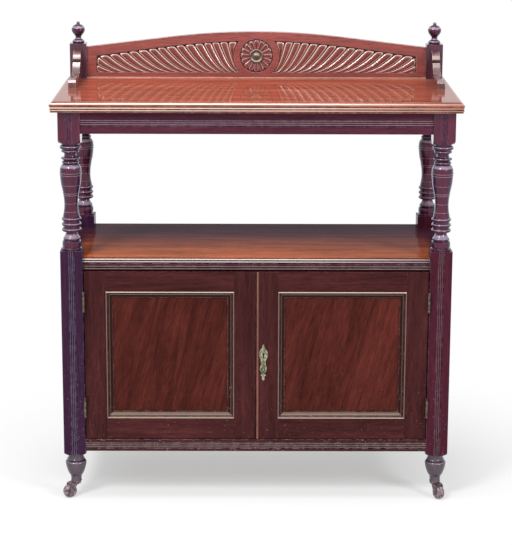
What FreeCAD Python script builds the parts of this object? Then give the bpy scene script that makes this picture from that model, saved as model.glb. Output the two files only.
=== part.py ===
import FreeCAD, Part
import math
import os
import re

import Sketcher

# Victorian mahogany chiffonier: a cupboard with two framed doors on turned feet and casters,
# an open tier above it on four turned columns, and a top with a carved gallery at the back.
# X runs to the right, Y to the back and Z up. The origin is on the floor, under the middle of
# the top board. All sizes are in millimetres.

doc = FreeCAD.newDocument("Chiffonier")
sizes = doc.addObject("Spreadsheet::Sheet", "Sizes")

DRIVING_SIZES = {
    # top board and where it stands over the carcass
    "top_width": 1070.0,
    "top_depth": 488.0,
    "top_height": 1089.0,
    "top_thickness": 28.0,
    "front_overhang": 25.0,
    "side_overhang": 19.0,
    "back_overhang": 13.0,
    "top_edge_slope": 12.0,
    "top_edge_drop": 9.4,
    "top_nose_height": 2.2,
    "top_quirk_depth": 3.5,
    "top_bead_height": 6.2,
    "edge_bead_bulge": 2.4,
    "edge_ovolo_bulge": 2.0,
    # corner posts and frieze
    "post_size": 58.0,
    "front_post_top": 690.0,
    "rear_post_top": 702.0,
    "post_bottom": 135.0,
    "post_pommel": 10.0,
    "block_height": 73.0,
    "block_pommel": 14.0,
    "pommel_radius": 26.5,
    "pommel_bulge": 3.0,
    "frieze_height": 59.0,
    "rail_thickness": 20.0,
    "rail_setback": 3.0,
    # reeds on the frieze, the bottom rail and the front posts
    "reed_band_height": 16.0,
    "reed_band_drop": 23.0,
    "reed_depth": 1.6,
    "reed_bulge": 1.6,
    "post_reed_width": 15.0,
    "bottom_reed_drop": 9.5,
    # turned columns, from the foot upwards and from the block downwards, at the height marked here
    "column_marked_height": 284.0,
    "column_spigot_radius": 11.0,
    "column_spigot_length": 22.0,
    "column_foot_radius": 26.3,
    "column_foot_height": 4.5,
    "column_base_radius": 24.0,
    "column_base_height": 18.0,
    "column_ovolo_radius": 20.5,
    "column_ovolo_height": 9.0,
    "column_neck_radius": 14.6,
    "column_neck_height": 14.0,
    "column_ring_radius": 24.0,
    "column_ring_height": 10.0,
    "column_ring_gap": 4.4,
    "column_stem_radius": 18.2,
    "column_stem_height": 36.0,
    "column_vase_radius": 28.0,
    "column_vase_waist": 23.2,
    "column_belly_height": 13.0,
    "column_shoulder_radius": 18.5,
    "column_shoulder_height": 18.0,
    "column_shoulder_bead_radius": 21.0,
    "column_shoulder_bead_height": 5.0,
    "column_collar_radius": 25.2,
    "column_collar_height": 9.0,
    "column_collar_neck": 22.5,
    "column_bead_radius": 21.5,
    "column_bead_height": 6.0,
    "column_upper_neck": 16.7,
    "column_upper_neck_height": 11.0,
    "column_fillet_radius": 23.5,
    "column_fillet_height": 4.5,
    "turned_step": 4.0,
    # turned feet
    "foot_length": 79.0,
    "foot_end_radius": 15.0,
    "foot_ankle_height": 12.0,
    "foot_taper_radius": 18.8,
    "foot_taper_height": 8.0,
    "foot_bulb_radius": 28.0,
    "foot_bulb_height": 30.0,
    "foot_shoulder_radius": 24.0,
    "foot_shoulder_height": 9.0,
    "foot_ring_height": 5.0,
    "foot_neck_radius": 22.6,
    "foot_spigot_radius": 11.0,
    "foot_spigot_length": 25.0,
    # casters
    "caster_plate_radius": 13.0,
    "caster_plate_thickness": 3.7,
    "caster_pin_radius": 4.0,
    "caster_pin_head_radius": 5.5,
    "caster_pin_head_height": 1.0,
    "caster_crown_thickness": 3.2,
    "caster_boss_radius": 7.5,
    "caster_boss_height": 3.5,
    "caster_trail": 20.0,
    "caster_cheek_thickness": 2.6,
    "caster_cheek_end": 7.0,
    "caster_axle_radius": 3.0,
    "caster_axle_head_radius": 5.0,
    "caster_axle_head_height": 1.0,
    "wheel_radius": 19.0,
    "wheel_width": 18.0,
    "wheel_rim_width": 11.0,
    "wheel_crown": 1.2,
    "caster_front_left_angle": 212.0,
    "caster_front_right_angle": 297.0,
    "caster_back_left_angle": 108.0,
    "caster_back_right_angle": 76.0,
    # middle shelf and cupboard carcass
    "shelf_height": 669.0,
    "shelf_thickness": 20.0,
    "shelf_setback": 10.0,
    "shelf_back_setback": 6.0,
    "shelf_ovolo_width": 9.0,
    "shelf_ovolo_drop": 12.0,
    "cupboard_rail_height": 13.0,
    "cupboard_rail_depth": 60.0,
    "carcass_bottom": 138.0,
    "bottom_rail_height": 33.0,
    "bottom_rail_thickness": 22.0,
    "bottom_rail_setback": 2.0,
    "bottom_board_thickness": 16.0,
    "side_panel_thickness": 16.0,
    "side_panel_setback": 8.0,
    "back_board_thickness": 12.0,
    "back_board_setback": 6.0,
    "back_board_count": 6.0,
    "back_board_gap": 1.0,
    "inner_shelf_height": 409.0,
    "inner_shelf_thickness": 14.0,
    "bearer_size": 20.0,
    # doors
    "door_setback": 5.0,
    "door_thickness": 22.0,
    "door_side_gap": 2.2,
    "door_top_gap": 1.7,
    "door_bottom_gap": 1.5,
    "meeting_gap": 2.0,
    "stile_width": 57.0,
    "door_top_rail_width": 54.0,
    "door_bottom_rail_width": 57.0,
    "tenon_length": 30.0,
    "tenon_thickness": 8.0,
    "tenon_shoulder": 8.0,
    "panel_thickness": 8.0,
    "panel_recess": 10.0,
    "panel_groove": 6.0,
    "moulding_width": 18.6,
    "moulding_bead_width": 5.5,
    "moulding_proud": 2.5,
    "moulding_bead_bulge": 1.3,
    "moulding_step": 2.6,
    "moulding_inner_height": 3.0,
    "moulding_slope_bulge": 2.0,
    "meeting_bead_width": 5.8,
    "meeting_bead_proud": 3.5,
    # hinges
    "hinge_length": 55.0,
    "hinge_upper_drop": 81.0,
    "hinge_lower_rise": 89.5,
    "hinge_knuckle_radius": 3.6,
    "hinge_pin_radius": 1.6,
    "hinge_leaf_thickness": 1.0,
    "hinge_leaf_depth": 20.0,
    "hinge_knuckle_gap": 0.3,
    # lock, escutcheon and drop handle
    "lock_height": 395.0,
    "lock_case_width": 44.0,
    "lock_case_height": 70.0,
    "lock_case_depth": 11.0,
    "lock_bolt_length": 31.0,
    "lock_bolt_height": 14.0,
    "lock_bolt_thickness": 6.0,
    "lock_bolt_throw": 10.0,
    "keyhole_height": 409.0,
    "keyhole_radius": 3.4,
    "escutcheon_offset": 19.4,
    "escutcheon_top": 436.0,
    "escutcheon_length": 100.0,
    "escutcheon_width": 22.0,
    "escutcheon_thickness": 1.6,
    "handle_pivot_height": 386.0,
    "handle_pivot_radius": 1.6,
    "handle_pivot_stand": 5.6,
    "handle_drop": 30.0,
    "handle_bulb_radius": 5.0,
    "handle_bulb_height": 7.8,
    "handle_tip_radius": 2.5,
    "handle_tip_height": 3.0,
    "handle_waist_radius": 3.0,
    "handle_waist_height": 15.0,
    "handle_neck_radius": 1.8,
    "handle_neck_height": 24.0,
    "handle_eye_radius": 3.4,
    "handle_ear_width": 2.4,
    "handle_eye_width": 4.0,
    # slide bolts inside the left door
    "slide_bolt_offset": 29.0,
    "slide_bolt_length": 100.0,
    "slide_bolt_width": 8.0,
    "slide_bolt_thickness": 5.0,
    "slide_bolt_throw": 11.0,
    "slide_bolt_rest_gap": 0.9,
    "slide_bolt_plate_length": 76.0,
    "slide_bolt_plate_width": 24.0,
    "slide_bolt_plate_thickness": 1.5,
    "slide_bolt_staple_height": 12.0,
    "slide_bolt_staple_wall": 2.0,
    "slide_bolt_knob_radius": 4.0,
    "slide_bolt_knob_length": 8.0,
    # gallery, its posts, finials and scroll brackets
    "gallery_thickness": 20.0,
    "gallery_back_setback": 7.0,
    "gallery_rise": 129.7,
    "gallery_end_rise": 87.0,
    "gallery_arc_half": 260.0,
    "gallery_arc_drop": 17.0,
    "gallery_border": 25.0,
    "gallery_lower_border": 16.0,
    "gallery_field_half": 448.0,
    "gallery_field_depth": 7.0,
    "rosette_height": 62.5,
    "rosette_radius": 47.0,
    "rosette_boss_radius": 19.0,
    "rosette_boss_proud": 3.0,
    "rosette_ring_radius": 64.0,
    "gallery_post_width": 46.0,
    "gallery_post_depth": 38.0,
    "gallery_post_height": 97.0,
    "gallery_post_inset": 14.0,
    "finial_base_radius": 18.4,
    "finial_base_height": 4.0,
    "finial_neck_radius": 9.0,
    "finial_neck_rise": 9.0,
    "finial_ball_foot": 17.0,
    "finial_ball_height": 34.0,
    "finial_ball_bulge": 12.1,
    "finial_nib_radius": 4.4,
    "finial_nib_height": 9.0,
    "finial_spigot_radius": 7.0,
    "finial_spigot_length": 18.0,
    "bracket_thickness": 21.0,
    "bracket_length": 200.0,
    "bracket_height": 80.0,
    "bracket_top_flat": 12.0,
    "bracket_roll_bulge": 6.0,
    "bracket_roll_reach": 47.0,
    "bracket_roll_drop": 18.0,
    "bracket_step_height": 52.0,
    "bracket_notch": 7.0,
    "bracket_hollow": 9.0,
    "bracket_scroll_start": 122.0,
    "bracket_scroll_root": 19.0,
    "bracket_scroll_height": 25.0,
    "bracket_toe_height": 15.0,
    # fits
    "spigot_clearance": 0.1,
    "running_clearance": 0.05,
    "side_clearance": 0.3,
}

SHEET_FIRST_ROW = 2
for row, (alias, number) in enumerate(DRIVING_SIZES.items(), SHEET_FIRST_ROW):
    sizes.set(f"A{row}", alias)
    sizes.set(f"B{row}", str(number))
    sizes.setAlias(f"B{row}", alias)
doc.recompute()

# ---------------------------------------------------------------- places worked out from the sizes

POST_OUTER = "(top_width / 2 - side_overhang)"
POST_INNER = f"({POST_OUTER} - post_size)"
POST_AXIS = f"({POST_OUTER} - post_size / 2)"
FRONT = "(front_overhang - top_depth / 2)"
BACK = "(top_depth / 2 - back_overhang)"
FRONT_AXIS = f"({FRONT} + post_size / 2)"
BACK_AXIS = f"({BACK} - post_size / 2)"
FRONT_POST_BACK = f"({FRONT} + post_size)"
BACK_POST_FRONT = f"({BACK} - post_size)"

TOP_UNDER = "(top_height - top_thickness)"
FRIEZE_BOTTOM = f"({TOP_UNDER} - frieze_height)"
BLOCK_CORNER = f"({TOP_UNDER} - block_height)"
BLOCK_END = f"({BLOCK_CORNER} - block_pommel)"
SHELF_UNDER = "(shelf_height - shelf_thickness)"
CUPBOARD_TOP = f"({SHELF_UNDER} - cupboard_rail_height)"
BOTTOM_RAIL_TOP = "(carcass_bottom + bottom_rail_height)"
BOTTOM_BOARD_UNDER = f"({BOTTOM_RAIL_TOP} - bottom_board_thickness)"
POST_END = "(post_bottom - post_pommel)"
FOOT_END = f"({POST_END} - foot_length)"

SIDE_OUTER = f"({POST_OUTER} - side_panel_setback)"
SIDE_INNER = f"({SIDE_OUTER} - side_panel_thickness)"
BACK_BOARD_OUTER = f"({BACK} - back_board_setback)"
BACK_BOARD_INNER = f"({BACK_BOARD_OUTER} - back_board_thickness)"
SHELF_FRONT = f"({FRONT} + shelf_setback)"
SHELF_BACK = f"({BACK} - shelf_back_setback)"
BOTTOM_RAIL_FACE = f"({FRONT} + bottom_rail_setback)"
BOTTOM_RAIL_BACK = f"({BOTTOM_RAIL_FACE} + bottom_rail_thickness)"

DOOR_FACE = f"({FRONT} + door_setback)"
DOOR_BACK = f"({DOOR_FACE} + door_thickness)"
DOOR_TOP = f"({CUPBOARD_TOP} - door_top_gap)"
DOOR_BOTTOM = f"({BOTTOM_RAIL_TOP} + door_bottom_gap)"
DOOR_OUTER = f"({POST_INNER} - door_side_gap)"
DOOR_MEETING = "(meeting_gap / 2)"
SIGHT_OUTER = f"({DOOR_OUTER} - stile_width)"
SIGHT_INNER = f"({DOOR_MEETING} + stile_width)"
SIGHT_TOP = f"({DOOR_TOP} - door_top_rail_width)"
SIGHT_BOTTOM = f"({DOOR_BOTTOM} + door_bottom_rail_width)"
PANEL_FACE = f"({DOOR_FACE} + panel_recess)"
TENON_FRONT = f"({DOOR_FACE} + door_thickness / 2 - tenon_thickness / 2)"
TENON_BACK = f"({TENON_FRONT} + tenon_thickness)"

HINGE_X = f"({POST_INNER} - door_side_gap / 2)"
HINGE_Y = f"({FRONT} - hinge_knuckle_radius - side_clearance)"

LOCK_BACK = DOOR_BACK
LOCK_FRONT = f"({DOOR_BACK} - lock_case_depth)"
LOCK_BOLT_MIDDLE = f"({DOOR_BACK} - lock_case_depth / 2)"

GALLERY_FACE = "(top_depth / 2 - gallery_back_setback - gallery_thickness)"
GALLERY_POST_INNER = "(top_width / 2 - gallery_post_inset - gallery_post_width)"
GALLERY_POST_AXIS = "(top_width / 2 - gallery_post_inset - gallery_post_width / 2)"
GALLERY_POST_FRONT = "(top_depth / 2 - gallery_post_depth)"
GALLERY_POST_MIDDLE = "(top_depth / 2 - gallery_post_depth / 2)"
GALLERY_POST_TOP = "(top_height + gallery_post_height)"

SIDES = {"left": -1, "right": 1}
ROWS = {"front": FRONT_AXIS, "back": BACK_AXIS}

# ---------------------------------------------------------------- helpers

WORDS_OF_FORMULAS = ("sqrt", "abs", "sin", "cos", "pow", "deg")
nodes = {}


def in_sheet(formula):
    """Formula with every alias written as a reference to the sheet."""
    def reference(match):
        word = match.group(0)
        return word if word in WORDS_OF_FORMULAS else f"Sizes.{word}"
    return re.sub(r"[a-z][a-z_0-9]*", reference, formula)


def value(formula):
    """Number that a formula gives with the sheet's sizes."""
    return float(sizes.evalExpression(formula))


def bind(item, prop, formula):
    """Ties one property of an object to the sheet."""
    item.setExpression(prop, in_sheet(formula))


def place(item, x="0", y="0", z="0"):
    """Ties an object's position to the sheet."""
    bind(item, "Placement.Base.x", x)
    bind(item, "Placement.Base.y", y)
    bind(item, "Placement.Base.z", z)
    return item


def node(item, name):
    """Gives a sub-part its name and keeps it for the list of files."""
    item.Label = name
    nodes[name] = item
    return item


def mirrored(side, low, high):
    """Range of x on the right, or its mirror image on the left."""
    if side > 0:
        return (low, high)
    return (f"(0 - {high})", f"(0 - {low})")


def board(name, x, y, z):
    """Square-edged board between two formulas along each axis."""
    item = doc.addObject("Part::Box", name)
    bind(item, "Length", f"{x[1]} - ({x[0]})")
    bind(item, "Width", f"{y[1]} - ({y[0]})")
    bind(item, "Height", f"{z[1]} - ({z[0]})")
    return place(item, x[0], y[0], z[0])


def rod(name, centre, radius, low, high, axis="z"):
    """Cylinder along one axis between two formulas; centre gives the other two places."""
    item = doc.addObject("Part::Cylinder", name)
    bind(item, "Radius", radius)
    bind(item, "Height", f"{high} - ({low})")
    if axis == "z":
        return place(item, centre[0], centre[1], low)
    if axis == "y":
        item.Placement.Rotation = FreeCAD.Rotation(FreeCAD.Vector(1, 0, 0), -90)
        return place(item, centre[0], low, centre[1])
    item.Placement.Rotation = FreeCAD.Rotation(FreeCAD.Vector(0, 1, 0), 90)
    return place(item, low, centre[0], centre[1])


def fuse(name, parts):
    """Union of several shapes."""
    item = doc.addObject("Part::MultiFuse", name)
    item.Shapes = parts
    return item


def cut(name, base, tools):
    """Base with one or more tools taken away."""
    item = doc.addObject("Part::Cut", name)
    item.Base = base
    item.Tool = tools[0] if len(tools) == 1 else fuse(name + "_tools", tools)
    return item


def group(name, parts):
    """Separate pieces of one kind, kept together as one sub-part."""
    item = doc.addObject("Part::Compound", name)
    item.Links = parts
    return node(item, name)


def origin_plane(body, role):
    """One of a body's own origin planes."""
    return next(f for f in body.Origin.OriginFeatures if f.Role == role)


def arc_between(start, end, rise):
    """Arc from start to end that stands off its chord by the rise, to the right of the way."""
    chord = end - start
    across = FreeCAD.Vector(chord.y, -chord.x, 0).normalize()
    radius = (chord.Length ** 2 / 4 + rise ** 2) / (2 * abs(rise))
    centre = (start + end) / 2 + across * (rise - math.copysign(radius, rise))
    first, last = (start, end) if rise > 0 else (end, start)
    first_angle = math.atan2(first.y - centre.y, first.x - centre.x)
    last_angle = math.atan2(last.y - centre.y, last.x - centre.x)
    if last_angle < first_angle:
        last_angle += 2 * math.pi
    circle = Part.Circle(centre, FreeCAD.Vector(0, 0, 1), radius)
    return Part.ArcOfCircle(circle, first_angle, last_angle)


START_INDEX, END_INDEX, CENTRE_INDEX = 1, 2, 3


def outline_sketch(body, role, outline, offset="0"):
    """Closed sketch on one of the body's origin planes.

    Outlines run anticlockwise. Each corner is (u, v) or (u, v, rise): with a rise, an arc leads
    on to the next corner and stands that far off its chord, outwards if the rise is positive.
    """
    sketch = body.newObject("Sketcher::SketchObject", body.Name + "_outline")
    sketch.AttachmentSupport = (origin_plane(body, role), [""])
    sketch.MapMode = "FlatFace"
    bind(sketch, "AttachmentOffset.Base.z", offset)
    corners = [FreeCAD.Vector(value(c[0]), value(c[1]), 0) for c in outline]
    edges = []
    starts = []
    for index, corner in enumerate(outline):
        start, end = corners[index], corners[(index + 1) % len(corners)]
        rise = value(corner[2]) if len(corner) > 2 else 0.0
        edges.append(arc_between(start, end, rise) if rise else Part.LineSegment(start, end))
        starts.append(END_INDEX if rise < 0 else START_INDEX)
    sketch.addGeometry(edges, False)
    joins = []
    for index, start in enumerate(starts):
        following = (index + 1) % len(starts)
        end = START_INDEX if start == END_INDEX else END_INDEX
        joins.append(Sketcher.Constraint("Coincident", index, end, following, starts[following]))
    sketch.addConstraint(joins)
    for index, corner in enumerate(outline):
        across = sketch.addConstraint(
            Sketcher.Constraint("DistanceX", index, starts[index], corners[index].x))
        bind(sketch, f"Constraints[{across}]", corner[0])
        along = sketch.addConstraint(
            Sketcher.Constraint("DistanceY", index, starts[index], corners[index].y))
        bind(sketch, f"Constraints[{along}]", corner[1])
        if len(corner) > 2:
            following = outline[(index + 1) % len(outline)]
            chord = f"pow({following[0]} - ({corner[0]}); 2) + pow({following[1]} - ({corner[1]}); 2)"
            radius = f"({chord}) / (8 * abs({corner[2]})) + abs({corner[2]}) / 2"
            bound = sketch.addConstraint(Sketcher.Constraint("Radius", index, edges[index].Radius))
            bind(sketch, f"Constraints[{bound}]", radius)
    return sketch


def pad(body, role, outline, length, offset="0"):
    """Pad of an outline, symmetric about its plane."""
    sketch = outline_sketch(body, role, outline, offset)
    feature = body.newObject("PartDesign::Pad", body.Name + "_pad")
    feature.Profile = sketch
    feature.SideType = "Symmetric"
    bind(feature, "Length", length)
    return feature


def pocket(body, role, outline, length, offset="0"):
    """Pocket of an outline, symmetric about its plane."""
    sketch = outline_sketch(body, role, outline, offset)
    feature = body.newObject("PartDesign::Pocket", body.Name + "_pocket")
    feature.Profile = sketch
    feature.SideType = "Symmetric"
    bind(feature, "Length", length)
    return feature


def round_pocket(body, role, centre, radius, length):
    """Round hole through a body, symmetric about the sketch's plane."""
    sketch = body.newObject("Sketcher::SketchObject", body.Name + "_circle")
    sketch.AttachmentSupport = (origin_plane(body, role), [""])
    sketch.MapMode = "FlatFace"
    middle = FreeCAD.Vector(value(centre[0]), value(centre[1]), 0)
    circle = Part.Circle(middle, FreeCAD.Vector(0, 0, 1), value(radius))
    index = sketch.addGeometry(circle, False)
    limits = (
        (Sketcher.Constraint("DistanceX", index, CENTRE_INDEX, middle.x), centre[0]),
        (Sketcher.Constraint("DistanceY", index, CENTRE_INDEX, middle.y), centre[1]),
        (Sketcher.Constraint("Radius", index, circle.Radius), radius),
    )
    for constraint, formula in limits:
        number = sketch.addConstraint(constraint)
        bind(sketch, f"Constraints[{number}]", formula)
    feature = body.newObject("PartDesign::Pocket", body.Name + "_hole")
    feature.Profile = sketch
    feature.SideType = "Symmetric"
    bind(feature, "Length", length)
    return feature


def turn(body, outline, kind="PartDesign::Revolution", role="XZ_Plane"):
    """Full turn of an outline about its sketch's upright axis, added or taken away."""
    sketch = outline_sketch(body, role, outline)
    feature = body.newObject(kind, body.Name + "_turning")
    feature.Profile = sketch
    feature.ReferenceAxis = (sketch, ["V_Axis"])
    feature.Angle = 360
    return feature



def stacked(level, steps):
    """Corners of a turning, each step a (radius, rise in height, bulge of the curve to it)."""
    corners = []
    for radius, height, bulge in steps:
        level = f"({level} + {height})"
        corners.append((radius, level, bulge))
    return corners


def spread_along(steps, spread):
    """Steps of a turning with their heights and bulges drawn out by one share."""
    return [(radius, f"({height}) * {spread}", bulge if bulge == "0" else f"({bulge}) * {spread}")
            for radius, height, bulge in steps]


def joined(corners):
    """Outline whose curve to a corner is given at the corner where that curve starts."""
    outline = []
    for index, (radius, level, _) in enumerate(corners):
        bulge = corners[(index + 1) % len(corners)][2]
        outline.append((radius, level) if bulge == "0" else (radius, level, bulge))
    return outline


def opposite(corners):
    """Profile of a right-hand edge, from the bottom up, as the left-hand one, from the top down."""
    outline = []
    for index in range(len(corners) - 1, -1, -1):
        corner = (f"(0 - {corners[index][0]})", corners[index][1])
        bulge = corners[index - 1][2:] if index else ()
        outline.append(corner + bulge)
    return outline


REED_COUNT = 3


def reeds_downwards(face, top, pitch):
    """Sunk band of reeds on a front face, in a section through a rail."""
    sunk = f"({face} + reed_depth)"
    levels = [f"({top} - {index} * {pitch})" for index in range(REED_COUNT + 1)]
    corners = [(sunk, level, "reed_bulge") for level in levels[:-1]]
    return [(face, levels[0])] + corners + [(sunk, levels[-1]), (face, levels[-1])]


def reeds_rightwards(face, left, pitch):
    """Sunk band of reeds on a front face, in a section through a post."""
    sunk = f"({face} + reed_depth)"
    places = [f"({left} + {index} * {pitch})" for index in range(REED_COUNT + 1)]
    corners = [(place_, sunk, "reed_bulge") for place_ in places[:-1]]
    return [(places[0], face)] + corners + [(places[-1], sunk), (places[-1], face)]


# ---------------------------------------------------------------- top board

def moulded_edge(nose):
    """Edge of the top from below upwards: two beads, a quirk, the nose and an ovolo."""
    inner = f"({nose} - top_quirk_depth)"
    nose_top = "(top_height - top_edge_drop)"
    nose_low = f"({nose_top} - top_nose_height)"
    quirk = f"({nose_low} - top_nose_height / 2)"
    middle = f"({quirk} - top_bead_height)"
    low = f"({middle} - top_bead_height)"
    return [
        (inner, TOP_UNDER),
        (inner, low, "edge_bead_bulge"),
        (inner, middle, "edge_bead_bulge"),
        (inner, quirk),
        (nose, nose_low),
        (nose, nose_top, "edge_ovolo_bulge"),
        (f"({nose} - top_edge_slope)", "top_height"),
    ]


across_top = doc.addObject("PartDesign::Body", "top_across")
side_edge = moulded_edge("top_width / 2")
pad(across_top, "XZ_Plane", side_edge + opposite(side_edge), "top_depth")

along_top = doc.addObject("PartDesign::Body", "top_along")
plain_back = [("top_depth / 2", TOP_UNDER), ("top_depth / 2", "top_height")]
pad(along_top, "YZ_Plane", plain_back + opposite(moulded_edge("top_depth / 2")), "top_width")

top_board = doc.addObject("Part::Common", "top_board")
top_board.Base = across_top
top_board.Tool = along_top
node(top_board, "top_board")

# ---------------------------------------------------------------- gallery


def gallery_outline(side_rise, half, foot, inset):
    """Arched board between two ends: a middle arc, straight slopes and rounded ends."""
    arc_end = "gallery_arc_half"
    apex = f"(top_height + gallery_rise - {inset})"
    shoulder = f"({apex} - gallery_arc_drop)"
    end = f"(top_height + {side_rise} - {inset})"
    return [
        (f"(0 - {half})", foot),
        (half, foot),
        (half, end),
        (arc_end, shoulder, "gallery_arc_drop"),
        (f"(0 - {arc_end})", shoulder),
        (f"(0 - {half})", end),
    ]


gallery_middle = f"(0 - ({GALLERY_FACE} + gallery_thickness / 2))"
gallery_blank = doc.addObject("PartDesign::Body", "gallery_blank")
pad(gallery_blank, "XZ_Plane",
    gallery_outline("gallery_end_rise", GALLERY_POST_INNER, "top_height", "0"),
    "gallery_thickness", gallery_middle)

gallery_field = doc.addObject("PartDesign::Body", "gallery_field")
pad(gallery_field, "XZ_Plane",
    gallery_outline("gallery_end_rise", "gallery_field_half", "(top_height + gallery_lower_border)",
                    "gallery_border"),
    "2 * gallery_field_depth", f"(0 - {GALLERY_FACE})")

ROSETTE_CENTRE = ("0", "(top_height + rosette_height)")
rosette_island = rod("rosette_island", ROSETTE_CENTRE, "rosette_ring_radius",
                     f"{GALLERY_FACE} - gallery_field_depth", f"{GALLERY_FACE} + gallery_field_depth", "y")
carved_field = cut("carved_field", gallery_field, [rosette_island])
rosette_disc = rod("rosette_disc", ROSETTE_CENTRE, "rosette_radius",
                   f"{GALLERY_FACE} - gallery_field_depth",
                   f"{GALLERY_FACE} + gallery_field_depth / 2", "y")
gallery_sunk = cut("gallery_sunk", gallery_blank, [carved_field, rosette_disc])
rosette_boss = rod("rosette_boss", ROSETTE_CENTRE, "rosette_boss_radius",
                   f"{GALLERY_FACE} - rosette_boss_proud",
                   f"{GALLERY_FACE} + gallery_field_depth", "y")
node(fuse("gallery_panel", [gallery_sunk, rosette_boss]), "gallery_panel")


def add_bracket(name, side):
    """Scroll bracket on the top, in front of a gallery post: a roll, a hollow and a lower scroll."""
    body = doc.addObject("PartDesign::Body", "bracket_" + name)
    outline = [
        ("(0 - bracket_length)", "0"),
        ("0", "0"),
        ("0", "bracket_height"),
        ("(0 - bracket_top_flat)", "bracket_height", "bracket_roll_bulge"),
        ("(0 - bracket_roll_reach)", "(bracket_height - bracket_roll_drop)", "bracket_roll_bulge / 2"),
        ("(0 - bracket_roll_reach + bracket_notch)", "bracket_step_height"),
        ("(0 - bracket_roll_reach - bracket_notch)", "bracket_step_height", "0 - bracket_hollow"),
        ("(0 - bracket_scroll_start)", "bracket_scroll_root"),
        ("(0 - bracket_scroll_start - bracket_notch / 2)", "bracket_scroll_height",
         "bracket_notch / 3"),
        ("(0 - bracket_length + bracket_notch)", "(bracket_scroll_height - bracket_notch / 2)"),
        ("(0 - bracket_length)", "bracket_toe_height"),
    ]
    centre = GALLERY_POST_AXIS if side > 0 else f"(0 - {GALLERY_POST_AXIS})"
    pad(body, "YZ_Plane", outline, "bracket_thickness")
    place(body, centre, GALLERY_POST_FRONT, "top_height")
    node(body, name)


def add_finial(name, side):
    """Turned ball finial with a spigot into its gallery post."""
    body = doc.addObject("PartDesign::Body", "turned_" + name)
    ball_top = "(finial_ball_foot + finial_ball_height)"
    outline = [
        ("0", "(0 - finial_spigot_length)"),
        ("finial_spigot_radius", "(0 - finial_spigot_length)"),
        ("finial_spigot_radius", "0"),
        ("finial_base_radius", "0"),
        ("finial_base_radius", "finial_base_height", "0 - finial_base_height"),
        ("finial_neck_radius", "(finial_base_height + finial_neck_rise)"),
        ("finial_neck_radius", "finial_ball_foot", "finial_ball_bulge"),
        ("finial_nib_radius", ball_top),
        ("finial_nib_radius", f"({ball_top} + finial_nib_height / 2)", "finial_nib_radius / 5"),
        ("finial_nib_radius / 3", f"({ball_top} + finial_nib_height)"),
        ("0", f"({ball_top} + finial_nib_height)"),
    ]
    turn(body, outline)
    centre = GALLERY_POST_AXIS if side > 0 else f"(0 - {GALLERY_POST_AXIS})"
    place(body, centre, GALLERY_POST_MIDDLE, GALLERY_POST_TOP)
    node(body, name)


def add_gallery_post(name, side):
    """Square post at an end of the gallery, bored for its finial."""
    blank = board("blank_" + name,
                  mirrored(side, GALLERY_POST_INNER, f"({GALLERY_POST_INNER} + gallery_post_width)"),
                  (GALLERY_POST_FRONT, "top_depth / 2"), ("top_height", GALLERY_POST_TOP))
    centre = GALLERY_POST_AXIS if side > 0 else f"(0 - {GALLERY_POST_AXIS})"
    bore = rod("bore_" + name, (centre, GALLERY_POST_MIDDLE),
               "finial_spigot_radius + spigot_clearance",
               f"({GALLERY_POST_TOP} - finial_spigot_length - side_clearance)", GALLERY_POST_TOP)
    node(cut(name, blank, [bore]), name)


for side_name, side in SIDES.items():
    add_gallery_post(f"gallery_post_{side_name}", side)
    add_finial(f"finial_{side_name}", side)
    add_bracket(f"scroll_bracket_{side_name}", side)

# ---------------------------------------------------------------- columns


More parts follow.
